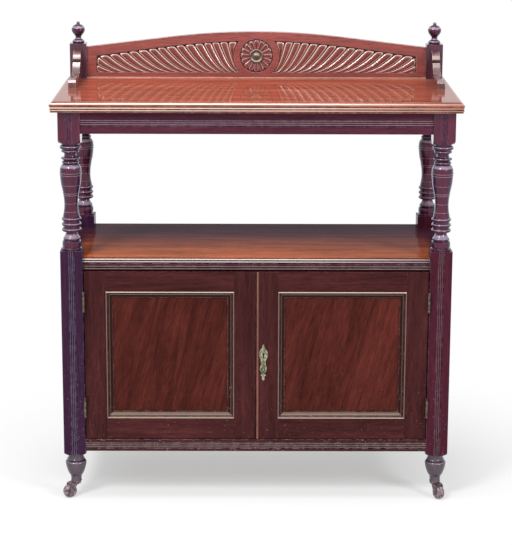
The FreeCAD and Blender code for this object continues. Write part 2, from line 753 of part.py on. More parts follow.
def column_outline(foot):
    """Turned column from its spigot up to the square block.

    The turnings keep their radii and spread evenly where the column is longer or shorter.
    """
    spread = f"(({BLOCK_END} - {foot}) / column_marked_height)"
    lower = [
        ("column_foot_radius", "column_foot_height", "0"),
        ("column_base_radius", "turned_step / 4", "0"),
        ("column_base_radius", "column_base_height", "turned_step / 3"),
        ("column_ovolo_radius", "turned_step / 4", "0"),
        ("column_ovolo_radius", "column_ovolo_height", "turned_step / 2"),
        ("column_neck_radius", "column_neck_height", "0 - turned_step / 4"),
    ]
    ring_root = "(column_ring_radius - turned_step / 2)"
    for _ in range(3):
        lower += [
            (ring_root, "turned_step / 4", "0"),
            (ring_root, "column_ring_height", "column_ring_height / 2.6"),
            (ring_root, "column_ring_gap - turned_step / 4", "0"),
        ]
    lower.append(("column_stem_radius", "column_stem_height", "0 - turned_step / 3"))
    upper = [
        ("column_shoulder_radius", "0", "column_shoulder_height / 7"),
        ("column_shoulder_bead_radius", "turned_step / 8", "0"),
        ("column_shoulder_bead_radius", "column_shoulder_bead_height", "column_shoulder_bead_height / 3"),
        ("column_shoulder_radius", "turned_step / 2", "0"),
        ("column_fillet_radius", "turned_step", "0 - turned_step / 4"),
        ("column_fillet_radius", "column_fillet_height", "turned_step / 4"),
        ("column_upper_neck", "turned_step / 2", "0"),
        ("column_upper_neck", "column_upper_neck_height", "0 - turned_step / 4"),
        ("column_bead_radius", "turned_step / 8", "0"),
        ("column_bead_radius", "column_bead_height", "column_bead_height / 3"),
        ("column_collar_neck", "turned_step / 2", "0"),
        ("column_collar_radius", "turned_step / 4", "0"),
        ("column_collar_radius", "column_collar_height", "column_collar_height / 4"),
        ("column_collar_neck", "turned_step / 2", "0"),
        ("column_collar_neck", "turned_step", "0"),
    ]
    lower = spread_along(lower, spread)
    upper = spread_along(upper, spread)
    upper_height = " + ".join(f"({height})" for _, height, _ in upper)
    shoulder = f"({BLOCK_END} - ({upper_height}))"
    belly_top = f"({shoulder} - column_shoulder_height * {spread})"
    belly = f"({belly_top} - column_belly_height * {spread})"
    stem_top = f"({foot} + {' + '.join(f'({height})' for _, height, _ in lower)})"
    waist = f"(({stem_top} + {belly}) / 2)"
    corners = [
        ("0", f"({foot} - column_spigot_length)", "0"),
        ("column_spigot_radius", f"({foot} - column_spigot_length)", "0"),
        ("column_spigot_radius", foot, "0"),
        ("column_foot_radius", foot, "0"),
    ]
    corners += stacked(foot, lower)
    corners += [
        ("column_vase_waist", waist, "0 - turned_step / 5"),
        ("column_vase_radius", belly, "turned_step / 4"),
        ("column_vase_radius", belly_top, "turned_step / 12"),
    ]
    corners += stacked(shoulder, upper)
    corners += [("0", f"({BLOCK_END} + turned_step)", "0")]
    corners.insert(-1, ("column_collar_neck", f"({BLOCK_END} + turned_step)", "0"))
    return joined(corners)


def square_outline(reeded):
    """Section of a square post about its own axis, with reeds on the front or plain."""
    half = "(post_size / 2)"
    front = f"(0 - {half})"
    band = reeds_rightwards(front, "(0 - post_reed_width / 2)", f"(post_reed_width / {REED_COUNT})")
    corners = [(front, front)] + (band if reeded else []) + [(half, front), (half, half), (front, half)]
    return corners


def pommel_outline(end, corner):
    """Section of the waste turned off the end of a square, outside a rounded shoulder."""
    outside = "post_size"
    corner_radius = "(post_size / sqrt(2) + side_clearance)"
    return [
        ("pommel_radius", end),
        (outside, end),
        (outside, corner),
        (corner_radius, corner, "0 - pommel_bulge"),
    ]


def square_with_pommel(body, end, corner, top, reeded):
    """Square length of a post whose lower end is turned to a rounded shoulder."""
    pad(body, "XY_Plane", square_outline(reeded), f"{top} - {end}", f"({top} + {end}) / 2")
    turn(body, pommel_outline(end, corner), "PartDesign::Groove")


def add_column(name, x, y, row, foot):
    """Turned column with the square block that takes the frieze rails."""
    body = doc.addObject("PartDesign::Body", "turned_" + name)
    square_with_pommel(body, BLOCK_END, BLOCK_CORNER, TOP_UNDER, row == "front")
    turn(body, column_outline(foot))
    place(body, x, y)
    node(body, name)


def add_post(name, x, y, row, top):
    """Square corner post of the cupboard, bored for the column above and the foot below."""
    body = doc.addObject("PartDesign::Body", "square_" + name)
    square_with_pommel(body, POST_END, "post_bottom", top, row == "front")
    place(body, x, y)
    column_bore = rod("column_bore_" + name, (x, y), "column_spigot_radius + spigot_clearance",
                      f"({top} - column_spigot_length - side_clearance)", top)
    foot_bore = rod("foot_bore_" + name, (x, y), "foot_spigot_radius + spigot_clearance",
                    POST_END, f"({POST_END} + foot_spigot_length + side_clearance)")
    node(cut(name, body, [column_bore, foot_bore]), name)


def foot_outline():
    """Turned vase-shaped foot from the caster up to the post."""
    steps = [
        ("foot_end_radius", "foot_ankle_height", "0 - turned_step / 4"),
        ("foot_taper_radius", "foot_taper_height", "0 - turned_step / 4"),
        ("foot_bulb_radius", "foot_bulb_height", "turned_step / 3"),
        ("foot_shoulder_radius", "foot_shoulder_height", "turned_step / 2"),
        ("(foot_neck_radius - turned_step / 4)", "turned_step / 4", "0"),
        ("(foot_neck_radius - turned_step / 4)", "foot_ring_height", "turned_step / 2"),
    ]
    corners = [("0", FOOT_END, "0"), ("foot_end_radius", FOOT_END, "0")]
    corners += stacked(FOOT_END, steps)
    corners += [
        ("foot_neck_radius", POST_END, "0 - turned_step / 3"),
        ("foot_spigot_radius", POST_END, "0"),
        ("foot_spigot_radius", f"({POST_END} + foot_spigot_length)", "0"),
        ("0", f"({POST_END} + foot_spigot_length)", "0"),
    ]
    return joined(corners)


def add_foot(name, x, y):
    """Turned foot with a spigot up into its post."""
    body = doc.addObject("PartDesign::Body", "turned_" + name)
    turn(body, foot_outline())
    place(body, x, y)
    node(body, name)


# ---------------------------------------------------------------- casters

CROWN_TOP = f"({FOOT_END} - caster_plate_thickness - side_clearance)"
CROWN_UNDER = f"({CROWN_TOP} - caster_crown_thickness)"
BOSS_UNDER = f"({CROWN_UNDER} - caster_boss_height)"
CHEEK_INNER = "(wheel_width / 2 + side_clearance)"
CHEEK_OUTER = f"({CHEEK_INNER} + caster_cheek_thickness)"


def caster_socket(name, x, y):
    """Round plate under a foot with the riveted pin that the caster swivels on."""
    body = doc.addObject("PartDesign::Body", name)
    pin_end = f"({BOSS_UNDER} - side_clearance)"
    turn(body, [
        ("0", f"({pin_end} - caster_pin_head_height)"),
        ("caster_pin_head_radius", f"({pin_end} - caster_pin_head_height)"),
        ("caster_pin_head_radius", pin_end),
        ("caster_pin_radius", pin_end),
        ("caster_pin_radius", f"({FOOT_END} - caster_plate_thickness)"),
        ("caster_plate_radius", f"({FOOT_END} - caster_plate_thickness)"),
        ("caster_plate_radius", FOOT_END),
        ("0", FOOT_END),
    ])
    return place(body, x, y)



def turned_to(item, x, y, angle):
    """Swings a caster piece about the swivel's axis to the way that it trails."""
    item.Placement = FreeCAD.Placement(FreeCAD.Vector(), FreeCAD.Rotation(FreeCAD.Vector(0, 0, 1), 1))
    bind(item, "Placement.Base.x", x)
    bind(item, "Placement.Base.y", y)
    bind(item, "Placement.Rotation.Angle", angle)
    return item


def add_caster_horn(name, x, y, angle):
    """Forked horn with its crown, boss and two cheeks, and the axle riveted through them."""
    body = doc.addObject("PartDesign::Body", "forged_" + name)
    cheek_foot = "(caster_trail - caster_cheek_end)"
    cheek_toe = "(caster_trail + caster_cheek_end)"
    pad(body, "XZ_Plane", [
        ("(0 - caster_boss_radius)", CROWN_UNDER),
        ("(caster_boss_radius / 3)", CROWN_UNDER),
        (cheek_foot, "wheel_radius", "caster_cheek_end * 0.9"),
        (cheek_toe, "wheel_radius"),
        ("(caster_trail + caster_cheek_end / 2)", CROWN_UNDER),
        ("(caster_boss_radius * 2)", CROWN_TOP),
        ("(0 - caster_boss_radius)", CROWN_TOP),
    ], f"2 * {CHEEK_OUTER}")
    pocket(body, "XZ_Plane", [
        ("(0 - wheel_radius)", "0"),
        ("(3 * wheel_radius)", "0"),
        ("(3 * wheel_radius)", CROWN_UNDER),
        ("(0 - wheel_radius)", CROWN_UNDER),
    ], f"2 * {CHEEK_INNER}")
    turn(body, [
        ("0", BOSS_UNDER),
        ("caster_boss_radius", BOSS_UNDER),
        ("caster_boss_radius", f"({CROWN_UNDER} + caster_crown_thickness / 2)"),
        ("0", f"({CROWN_UNDER} + caster_crown_thickness / 2)"),
    ])
    bore = "(caster_pin_radius + running_clearance)"
    turn(body, [("0", "0"), (bore, "0"), (bore, FOOT_END), ("0", FOOT_END)], "PartDesign::Groove")
    round_pocket(body, "XZ_Plane", ("caster_trail", "wheel_radius"),
                 "caster_axle_radius + running_clearance", f"4 * {CHEEK_OUTER}")
    turned_to(body, x, y, angle)
    axle = doc.addObject("PartDesign::Body", "axle_" + name)
    end = f"({CHEEK_OUTER} + caster_axle_head_height)"
    turn(axle, [
        ("0", f"(0 - {end})"),
        ("caster_axle_head_radius", f"(0 - {end})"),
        ("caster_axle_head_radius", f"(0 - {CHEEK_OUTER})"),
        ("caster_axle_radius", f"(0 - {CHEEK_OUTER})"),
        ("caster_axle_radius", CHEEK_OUTER),
        ("caster_axle_head_radius", CHEEK_OUTER),
        ("caster_axle_head_radius", end),
        ("0", end),
    ], role="XY_Plane")
    wheel_place(axle, x, y, angle)
    group(name, [body, axle])


def wheel_place(item, x, y, angle):
    """Puts a wheel or its axle at the trailing end of its horn."""
    turned_to(item, f"{x} + caster_trail * cos({angle} * 1 deg)",
              f"{y} + caster_trail * sin({angle} * 1 deg)", angle)
    bind(item, "Placement.Base.z", "wheel_radius")


def add_caster_wheel(name, x, y, angle):
    """Glazed wheel with a rounded tread, bored for its axle."""
    body = doc.addObject("PartDesign::Body", "fired_" + name)
    bore = "(caster_axle_radius + running_clearance)"
    tread = "(wheel_radius - wheel_crown)"
    shoulder = "(wheel_radius - wheel_width / 5)"
    turn(body, [
        (bore, "(0 - wheel_width / 2)"),
        (shoulder, "(0 - wheel_width / 2)", "wheel_crown / 2"),
        (tread, "(0 - wheel_rim_width / 2)", "wheel_crown"),
        (tread, "(wheel_rim_width / 2)", "wheel_crown / 2"),
        (shoulder, "(wheel_width / 2)"),
        (bore, "(wheel_width / 2)"),
    ], role="XY_Plane")
    wheel_place(body, x, y, angle)
    node(body, name)


sockets = []
for row_name, y in ROWS.items():
    post_top = "front_post_top" if row_name == "front" else "rear_post_top"
    for side_name, side in SIDES.items():
        x = POST_AXIS if side > 0 else f"(0 - {POST_AXIS})"
        corner = f"{row_name}_{side_name}"
        angle = f"caster_{corner}_angle"
        add_column(f"column_{corner}", x, y, row_name, post_top)
        add_post(f"post_{corner}", x, y, row_name, post_top)
        add_foot(f"foot_{corner}", x, y)
        sockets.append(caster_socket(f"caster_socket_{corner}", x, y))
        add_caster_horn(f"caster_horn_{corner}", x, y, angle)
        add_caster_wheel(f"caster_wheel_{corner}", x, y, angle)
group("caster_sockets", sockets)

# ---------------------------------------------------------------- frieze

RAIL_FACE = f"({FRONT} + rail_setback)"
FULL_WIDTH = (f"(0 - {POST_INNER})", POST_INNER)
BETWEEN_POSTS = (FRONT_POST_BACK, BACK_POST_FRONT)
FRIEZE = (FRIEZE_BOTTOM, TOP_UNDER)


def reeded_rail(name, face, thickness, low, high, band_top):
    """Rail between the front posts with a band of reeds along its face."""
    body = doc.addObject("PartDesign::Body", "reeded_" + name)
    back = f"({face} + {thickness})"
    band = reeds_downwards(face, band_top, f"(reed_band_height / {REED_COUNT})")
    outline = [(face, low), (back, low), (back, high), (face, high)] + band
    pad(body, "YZ_Plane", outline, f"2 * {POST_INNER}")
    return node(body, name)


reeded_rail("frieze_rail_front", RAIL_FACE, "rail_thickness", FRIEZE_BOTTOM, TOP_UNDER,
            f"({TOP_UNDER} - reed_band_drop)")
node(board("plain_frieze_rail_back", FULL_WIDTH,
           (f"({BACK} - rail_setback - rail_thickness)", f"({BACK} - rail_setback)"), FRIEZE),
     "frieze_rail_back")
for side_name, side in SIDES.items():
    across = mirrored(side, f"({POST_OUTER} - rail_setback - rail_thickness)",
                      f"({POST_OUTER} - rail_setback)")
    name = f"frieze_rail_{side_name}"
    node(board("plain_" + name, across, BETWEEN_POSTS, FRIEZE), name)

# ---------------------------------------------------------------- cupboard carcass


def post_notches(name, low, high):
    """Blocks that clear the four posts out of a board."""
    blocks = []
    for row_name, row_y in ROWS.items():
        for side_name, side in SIDES.items():
            across = mirrored(side, POST_INNER, f"({POST_OUTER} + post_size)")
            if row_name == "front":
                depth = (f"({FRONT} - post_size)", FRONT_POST_BACK)
            else:
                depth = (BACK_POST_FRONT, f"({BACK} + post_size)")
            blocks.append(board(f"{name}_notch_{row_name}_{side_name}", across, depth, (low, high)))
    return blocks


SLIDE_BOLT_X = "(0 - slide_bolt_offset)"
SLIDE_BOLT_FRONT = f"({DOOR_BACK} + slide_bolt_plate_thickness + side_clearance)"
SLIDE_BOLT_BACK = f"({SLIDE_BOLT_FRONT} + slide_bolt_thickness)"
SLIDE_BOLT_SLOT = (
    (f"({SLIDE_BOLT_X} - slide_bolt_width / 2 - side_clearance)",
     f"({SLIDE_BOLT_X} + slide_bolt_width / 2 + side_clearance)"),
    (f"({SLIDE_BOLT_FRONT} - side_clearance)", f"({SLIDE_BOLT_BACK} + side_clearance)"),
)
SLOT_DEPTH = "(slide_bolt_throw + side_clearance)"

shelf_blank = doc.addObject("PartDesign::Body", "shelf_blank")
SHELF_NOSE_LOW = "(shelf_height - shelf_ovolo_drop - top_nose_height)"
pad(shelf_blank, "YZ_Plane", [
    (SHELF_BACK, SHELF_UNDER),
    (SHELF_BACK, "shelf_height"),
    (f"({SHELF_FRONT} + shelf_ovolo_width)", "shelf_height", "edge_ovolo_bulge"),
    (SHELF_FRONT, "(shelf_height - shelf_ovolo_drop)"),
    (SHELF_FRONT, SHELF_NOSE_LOW),
    (f"({SHELF_FRONT} + top_quirk_depth / 2)", SHELF_NOSE_LOW),
    (f"({SHELF_FRONT} + top_quirk_depth / 2)", SHELF_UNDER),
], f"2 * {SIDE_OUTER}")
node(cut("shelf_board", shelf_blank, post_notches("shelf", SHELF_UNDER, "shelf_height")),
     "shelf_board")

cupboard_rail = doc.addObject("PartDesign::Body", "cupboard_rail")
RAIL_BEAD_FACE = f"({SHELF_FRONT} + top_quirk_depth)"
pad(cupboard_rail, "YZ_Plane", [
    (RAIL_BEAD_FACE, CUPBOARD_TOP),
    (f"({SHELF_FRONT} + cupboard_rail_depth)", CUPBOARD_TOP),
    (f"({SHELF_FRONT} + cupboard_rail_depth)", SHELF_UNDER),
    (RAIL_BEAD_FACE, SHELF_UNDER, "edge_bead_bulge"),
    (RAIL_BEAD_FACE, f"({SHELF_UNDER} - cupboard_rail_height / 2)", "edge_bead_bulge"),
], f"2 * {POST_INNER}")
upper_slot = board("upper_bolt_slot", *SLIDE_BOLT_SLOT,
                   (CUPBOARD_TOP, f"({CUPBOARD_TOP} + {SLOT_DEPTH})"))
node(cut("cupboard_top_rail", cupboard_rail, [upper_slot]), "cupboard_top_rail")

reeded_rail("bottom_rail", BOTTOM_RAIL_FACE, "bottom_rail_thickness", "carcass_bottom",
            BOTTOM_RAIL_TOP, f"({BOTTOM_RAIL_TOP} - bottom_reed_drop)")

bottom_blank = board("bottom_blank", (f"(0 - {SIDE_INNER})", SIDE_INNER),
                     (BOTTOM_RAIL_BACK, BACK_BOARD_INNER), (BOTTOM_BOARD_UNDER, BOTTOM_RAIL_TOP))
lower_slot = board("lower_bolt_slot", *SLIDE_BOLT_SLOT,
                   (f"({BOTTOM_RAIL_TOP} - {SLOT_DEPTH})", BOTTOM_RAIL_TOP))
node(cut("bottom_board", bottom_blank,
         post_notches("bottom", BOTTOM_BOARD_UNDER, BOTTOM_RAIL_TOP) + [lower_slot]), "bottom_board")

bearers = []
for side_name, side in SIDES.items():
    name = f"side_panel_{side_name}"
    across = mirrored(side, SIDE_INNER, SIDE_OUTER)
    node(board("plain_" + name, across, BETWEEN_POSTS, ("carcass_bottom", SHELF_UNDER)), name)
    shelf_under = "(inner_shelf_height - inner_shelf_thickness)"
    bearers.append(board(f"bearer_{side_name}", mirrored(side, f"({SIDE_INNER} - bearer_size)", SIDE_INNER),
                         BETWEEN_POSTS, (f"({shelf_under} - bearer_size)", shelf_under)))
group("shelf_bearers", bearers)
node(board("plain_inner_shelf", (f"(0 - {SIDE_INNER})", SIDE_INNER), BETWEEN_POSTS,
           ("(inner_shelf_height - inner_shelf_thickness)", "inner_shelf_height")), "inner_shelf")

back_boards = []
pitch = f"(2 * {POST_INNER} / back_board_count)"
for index in range(round(value("back_board_count"))):
    left = f"({index} * {pitch} - {POST_INNER})"
    right = f"({left} + {pitch} - back_board_gap)" if index + 1 < value("back_board_count") else POST_INNER
    back_boards.append(board(f"back_board_{index + 1}", (left, right),
                             (BACK_BOARD_INNER, BACK_BOARD_OUTER), ("carcass_bottom", SHELF_UNDER)))
group("back_boards", back_boards)

# ---------------------------------------------------------------- doors

PANEL_RANGE_Y = (PANEL_FACE, f"({PANEL_FACE} + panel_thickness)")
TENON_RANGE_Y = (TENON_FRONT, TENON_BACK)
DOOR_RANGE_Y = (DOOR_FACE, DOOR_BACK)
RAILS = {
    "top": (SIGHT_TOP, DOOR_TOP),
    "bottom": (DOOR_BOTTOM, SIGHT_BOTTOM),
}
LOCK_RANGE_Z = ("(lock_height - lock_case_height / 2)", "(lock_height + lock_case_height / 2)")
LOCK_BOLT_Y = (f"({LOCK_BOLT_MIDDLE} - lock_bolt_thickness / 2)",
               f"({LOCK_BOLT_MIDDLE} + lock_bolt_thickness / 2)")
LOCK_BOLT_Z = ("(lock_height - lock_bolt_height / 2)", "(lock_height + lock_bolt_height / 2)")
LOCK_SLOT_Y = (f"({LOCK_BOLT_Y[0]} - side_clearance)", f"({LOCK_BOLT_Y[1]} + side_clearance)")
LOCK_SLOT_Z = (f"({LOCK_BOLT_Z[0]} - side_clearance)", f"({LOCK_BOLT_Z[1]} + side_clearance)")
LOCK_CASE = ((DOOR_MEETING, f"({DOOR_MEETING} + lock_case_width)"), (LOCK_FRONT, LOCK_BACK), LOCK_RANGE_Z)


def widened(limits, amount):
    """Range let out by the same amount at both ends."""
    return (f"({limits[0]} - {amount})", f"({limits[1]} + {amount})")


def panel_board(name, side, room):
    """Panel with its edges in the frame's groove; room is what the groove has over it."""
    reach = f"(panel_groove + {room})"
    across = mirrored(side, f"({SIGHT_INNER} - {reach})", f"({SIGHT_OUTER} + {reach})")
    return board(name, across, PANEL_RANGE_Y, widened((SIGHT_BOTTOM, SIGHT_TOP), reach))


def tenon_board(name, side, limits, inner):
    """Tenon of a door rail in a stile, at the inner or the outer end."""
    across = ((f"({SIGHT_INNER} - tenon_length)", SIGHT_INNER) if inner
              else (SIGHT_OUTER, f"({SIGHT_OUTER} + tenon_length)"))
    height = (f"({limits[0]} + tenon_shoulder)", f"({limits[1]} - tenon_shoulder)")
    return board(name, mirrored(side, *across), TENON_RANGE_Y, height)


def add_frame(name, side, meeting_cuts):
    """Door frame: two stiles and two rails, tenoned together and grooved for the panel."""
    members = []
    ends = {"meeting": (DOOR_MEETING, SIGHT_INNER), "hinge": (SIGHT_OUTER, DOOR_OUTER)}
    for end, across in ends.items():
        tag = f"{name}_{end}_stile"
        blank = board(tag + "_blank", mirrored(side, *across), DOOR_RANGE_Y, (DOOR_BOTTOM, DOOR_TOP))
        tools = [panel_board(tag + "_groove", side, "side_clearance")]
        for rail, limits in RAILS.items():
            tools.append(tenon_board(f"{tag}_{rail}_mortise", side, limits, end == "meeting"))
        if end == "meeting":
            tools += meeting_cuts
        members.append(cut(tag, blank, tools))
    for rail, limits in RAILS.items():
        tag = f"{name}_{rail}_rail"
        blank = board(tag + "_blank", mirrored(side, SIGHT_INNER, SIGHT_OUTER), DOOR_RANGE_Y, limits)
        tenons = [tenon_board(f"{tag}_tenon_{number}", side, limits, number == 1) for number in (1, 2)]
        tenoned = fuse(tag + "_tenoned", [blank] + tenons)
        members.append(cut(tag, tenoned, [panel_board(tag + "_groove", side, "side_clearance")]))
    group(name, members)


def moulding_piece(name, length, start, quarter):
    """One mitred length of panel moulding; quarter turns run anticlockwise from the bottom one."""
    blank = doc.addObject("PartDesign::Body", name + "_mitred")
    height = "(panel_recess + moulding_proud)"
    pad(blank, "XY_Plane", [
        ("0", "0"),
        (length, "0"),
        (f"({length} - moulding_width)", "moulding_width"),
        ("moulding_width", "moulding_width"),
    ], f"2 * {height}")
    section = doc.addObject("PartDesign::Body", name + "_section")
    bead_base = f"({height} - moulding_bead_bulge)"
    step_base = f"({bead_base} - moulding_step)"
    pad(section, "YZ_Plane", [
        ("0", "0"),
        ("moulding_width", "0"),
        ("moulding_width", "moulding_inner_height", "0 - moulding_slope_bulge"),
        ("moulding_bead_width", step_base),
        ("moulding_bead_width", bead_base, "moulding_bead_bulge"),
        ("0", bead_base),
    ], f"2 * {length}")
    piece = doc.addObject("Part::Common", name)
    piece.Base = blank
    piece.Tool = section
    forwards = FreeCAD.Rotation(FreeCAD.Vector(1, 0, 0), 90)
    round_panel = FreeCAD.Rotation(FreeCAD.Vector(0, 1, 0), -90 * quarter)
    piece.Placement = FreeCAD.Placement(FreeCAD.Vector(), round_panel * forwards)
    return place(piece, start[0], PANEL_FACE, start[1])


def add_moulding(name, side):
    """Four mitred lengths of moulding round the panel, against the frame's sight edge."""
    left, right = mirrored(side, SIGHT_INNER, SIGHT_OUTER)
    width = f"({SIGHT_OUTER} - {SIGHT_INNER})"
    height = f"({SIGHT_TOP} - {SIGHT_BOTTOM})"
    runs = (
        (width, (left, SIGHT_BOTTOM)),
        (height, (right, SIGHT_BOTTOM)),
        (width, (right, SIGHT_TOP)),
        (height, (left, SIGHT_TOP)),
    )
    pieces = [moulding_piece(f"{name}_{quarter + 1}", length, start, quarter)
              for quarter, (length, start) in enumerate(runs)]
    group(name, pieces)


HINGES = {
    "upper": f"({DOOR_TOP} - hinge_upper_drop)",
    "lower": f"({DOOR_BOTTOM} + hinge_lower_rise)",
}
KNUCKLE_COUNT = 5


def hinge_leaf(name, side, height, on_door):
    """Hinge leaf with its share of the knuckles, bored for the pin."""
    centre_x = HINGE_X if side > 0 else f"(0 - {HINGE_X})"
    if on_door:
        across = mirrored(side, DOOR_OUTER, f"({DOOR_OUTER} + hinge_leaf_thickness)")
    else:
        across = mirrored(side, f"({POST_INNER} - hinge_leaf_thickness)", POST_INNER)
    low = f"({height} - hinge_length / 2)"
    high = f"({height} + hinge_length / 2)"
    parts = [board(name + "_plate", across, (FRONT, f"({FRONT} + hinge_leaf_depth)"), (low, high))]
    pitch = f"(hinge_length / {KNUCKLE_COUNT})"
    for index in range(KNUCKLE_COUNT):
        if (index % 2 == 1) != on_door:
            continue
        knuckle_low = f"({low} + {index} * {pitch} + hinge_knuckle_gap / 2)"
        knuckle_high = f"({low} + {index + 1} * {pitch} - hinge_knuckle_gap / 2)"
        tag = f"{name}_knuckle_{index + 1}"
        parts.append(rod(tag, (centre_x, HINGE_Y), "hinge_knuckle_radius", knuckle_low, knuckle_high))
        parts.append(board(tag + "_tab", across, (HINGE_Y, f"({FRONT} + hinge_leaf_thickness)"),
                           (knuckle_low, knuckle_high)))
    bore = rod(name + "_bore", (centre_x, HINGE_Y), "hinge_pin_radius + running_clearance",
               f"({low} - 1)", f"({high} + 1)")
    return cut(name, fuse(name + "_rolled", parts), [bore])


def add_hinges():
    """Fixed leaves and pins on the posts, and the moving leaves on both doors."""
    fixed = []
    for side_name, side in SIDES.items():
        centre_x = HINGE_X if side > 0 else f"(0 - {HINGE_X})"
        moving = []
        for place_name, height in HINGES.items():
            tag = f"{side_name}_{place_name}"
            fixed.append(hinge_leaf(f"fixed_leaf_{tag}", side, height, False))
            fixed.append(rod(f"hinge_pin_{tag}", (centre_x, HINGE_Y), "hinge_pin_radius",
                             f"({height} - hinge_length / 2)", f"({height} + hinge_length / 2)"))
            moving.append(hinge_leaf(f"door_leaf_{tag}", side, height, True))
        group(f"door_{side_name}_hinges", moving)
    group("fixed_hinges", fixed)


KEYHOLE = ("escutcheon_offset", "keyhole_height")
lock_recess = board("lock_recess", *LOCK_CASE)
keyhole_bore = rod("keyhole_bore", KEYHOLE, "keyhole_radius", DOOR_FACE, LOCK_FRONT, "y")
keeper_mortise = board("keeper_mortise",
                       (f"(0 - {DOOR_MEETING} - lock_bolt_throw - side_clearance)", f"(0 - {DOOR_MEETING})"),
                       LOCK_SLOT_Y, LOCK_SLOT_Z)
MEETING_CUTS = {"left": [keeper_mortise], "right": [lock_recess, keyhole_bore]}

for side_name, side in SIDES.items():
    add_frame(f"door_{side_name}_frame", side, MEETING_CUTS[side_name])
    node(panel_board(f"plain_door_{side_name}_panel", side, "0"), f"door_{side_name}_panel")
    add_moulding(f"door_{side_name}_moulding", side)
add_hinges()

meeting_bead = doc.addObject("PartDesign::Body", "bead_strip")
pad(meeting_bead, "XY_Plane", [
    (DOOR_MEETING, f"({DOOR_FACE} - meeting_bead_proud / 2)", "meeting_bead_proud / 2"),
    (f"({DOOR_MEETING} + meeting_bead_width)", f"({DOOR_FACE} - meeting_bead_proud / 2)"),
    (f"({DOOR_MEETING} + meeting_bead_width)", DOOR_FACE),
    (DOOR_MEETING, DOOR_FACE),
], f"{DOOR_TOP} - {DOOR_BOTTOM}", f"({DOOR_TOP} + {DOOR_BOTTOM}) / 2")
node(meeting_bead, "meeting_bead")

# ---------------------------------------------------------------- lock, escutcheon and drop handle

lock_body = board("lock_body", *LOCK_CASE)
lock_slot = board("lock_slot", (DOOR_MEETING, f"({DOOR_MEETING} + lock_bolt_length + 2 * side_clearance)"),
                  LOCK_SLOT_Y, LOCK_SLOT_Z)
node(cut("lock_case", lock_body, [lock_slot]), "lock_case")
node(board("sliding_lock_bolt",
           (f"({DOOR_MEETING} + side_clearance)", f"({DOOR_MEETING} + side_clearance + lock_bolt_length)"),
           LOCK_BOLT_Y, LOCK_BOLT_Z), "lock_bolt")

PLATE_FACE = f"({DOOR_FACE} - escutcheon_thickness)"
PIVOT_Y = f"({PLATE_FACE} - handle_pivot_stand)"
ESCUTCHEON_BOTTOM = "(escutcheon_top - escutcheon_length)"


# corners of the plate's right edge from the bottom up: share of its half width, share of its
# length, and the rise of the curve to the next corner as a share of its length
ESCUTCHEON_CORNERS = (
    (0.0, 0.0, 0.014),
    (0.33, 0.045, 0.010),
    (0.16, 0.10, 0.0),
    (0.72, 0.145, 0.0),
    (0.24, 0.19, 0.0),
    (0.74, 0.27, 0.020),
    (0.60, 0.42, 0.0),
    (0.60, 0.55, 0.0),
    (1.0, 0.66, 0.022),
    (0.66, 0.86, 0.0),
    (0.27, 0.905, 0.012),
    (0.0, 1.0, 0.0),
)


def escutcheon_outline():
    """Waisted plate with a lobe at each end, a wide upper part and a narrower lower one."""
    right = []
    for across, along, rise in ESCUTCHEON_CORNERS:
        corner = (f"escutcheon_width / 2 * {across}", f"escutcheon_length * {along}")
        right.append(corner + ((f"escutcheon_length * {rise}",) if rise else ()))
    return right[:-1] + opposite(right)[:-1]


plate = doc.addObject("PartDesign::Body", "escutcheon_plate")
pad(plate, "XZ_Plane", escutcheon_outline(), "escutcheon_thickness")
place(plate, "escutcheon_offset", f"({DOOR_FACE} - escutcheon_thickness / 2)", ESCUTCHEON_BOTTOM)
keyhole_round = rod("keyhole_round", KEYHOLE, "keyhole_radius", f"{PLATE_FACE} - 1", f"{DOOR_FACE}", "y")
keyhole_slot = board("keyhole_slot",
                     widened(("escutcheon_offset", "escutcheon_offset"), "keyhole_radius / 2"),
                     (f"{PLATE_FACE} - 1", DOOR_FACE),
                     ("keyhole_height - 3 * keyhole_radius", "keyhole_height"))
EYE_HALF = "(handle_eye_width / 2)"
ears = []
for side_name, side in SIDES.items():
    inner = f"({EYE_HALF} + side_clearance)"
    low, high = mirrored(side, inner, f"({inner} + handle_ear_width)")
    across = (f"(escutcheon_offset + {low})", f"(escutcheon_offset + {high})")
    ears.append(board(f"ear_{side_name}", across,
                      (f"({PIVOT_Y} - handle_eye_radius)", f"({PLATE_FACE} + escutcheon_thickness / 2)"),
                      widened(("handle_pivot_height", "handle_pivot_height"), "handle_eye_radius")))
ear_bore = rod("ear_bore", (PIVOT_Y, "handle_pivot_height"), "handle_pivot_radius + running_clearance",
               "(escutcheon_offset - escutcheon_width)", "(escutcheon_offset + escutcheon_width)", "x")
eared_plate = fuse("eared_plate", [plate] + ears)
node(cut("escutcheon", eared_plate, [keyhole_round, keyhole_slot, ear_bore]), "escutcheon")

drop = doc.addObject("PartDesign::Body", "turned_drop")
turn(drop, [
    ("0", "(0 - handle_drop)"),
    ("handle_tip_radius", "(0 - handle_drop)", "handle_tip_radius / 4"),
    ("handle_tip_radius", "(handle_tip_height - handle_drop)"),
    ("handle_bulb_radius", "(handle_bulb_height - handle_drop)", "handle_bulb_radius / 5"),
    ("handle_waist_radius", "(handle_waist_height - handle_drop)"),
    ("handle_neck_radius", "(handle_neck_height - handle_drop)"),
    ("handle_neck_radius", "0"),
    ("0", "0"),
])
place(drop, "escutcheon_offset", PIVOT_Y, "handle_pivot_height")
PIVOT = (PIVOT_Y, "handle_pivot_height")
eye = rod("drop_eye", PIVOT, "handle_eye_radius", f"(escutcheon_offset - {EYE_HALF})",
          f"(escutcheon_offset + {EYE_HALF})", "x")
PIN_HALF = f"({EYE_HALF} + side_clearance + handle_ear_width)"
pin = rod("drop_pin", PIVOT, "handle_pivot_radius", f"(escutcheon_offset - {PIN_HALF})",
          f"(escutcheon_offset + {PIN_HALF})", "x")
node(fuse("drop_handle", [drop, eye, pin]), "drop_handle")

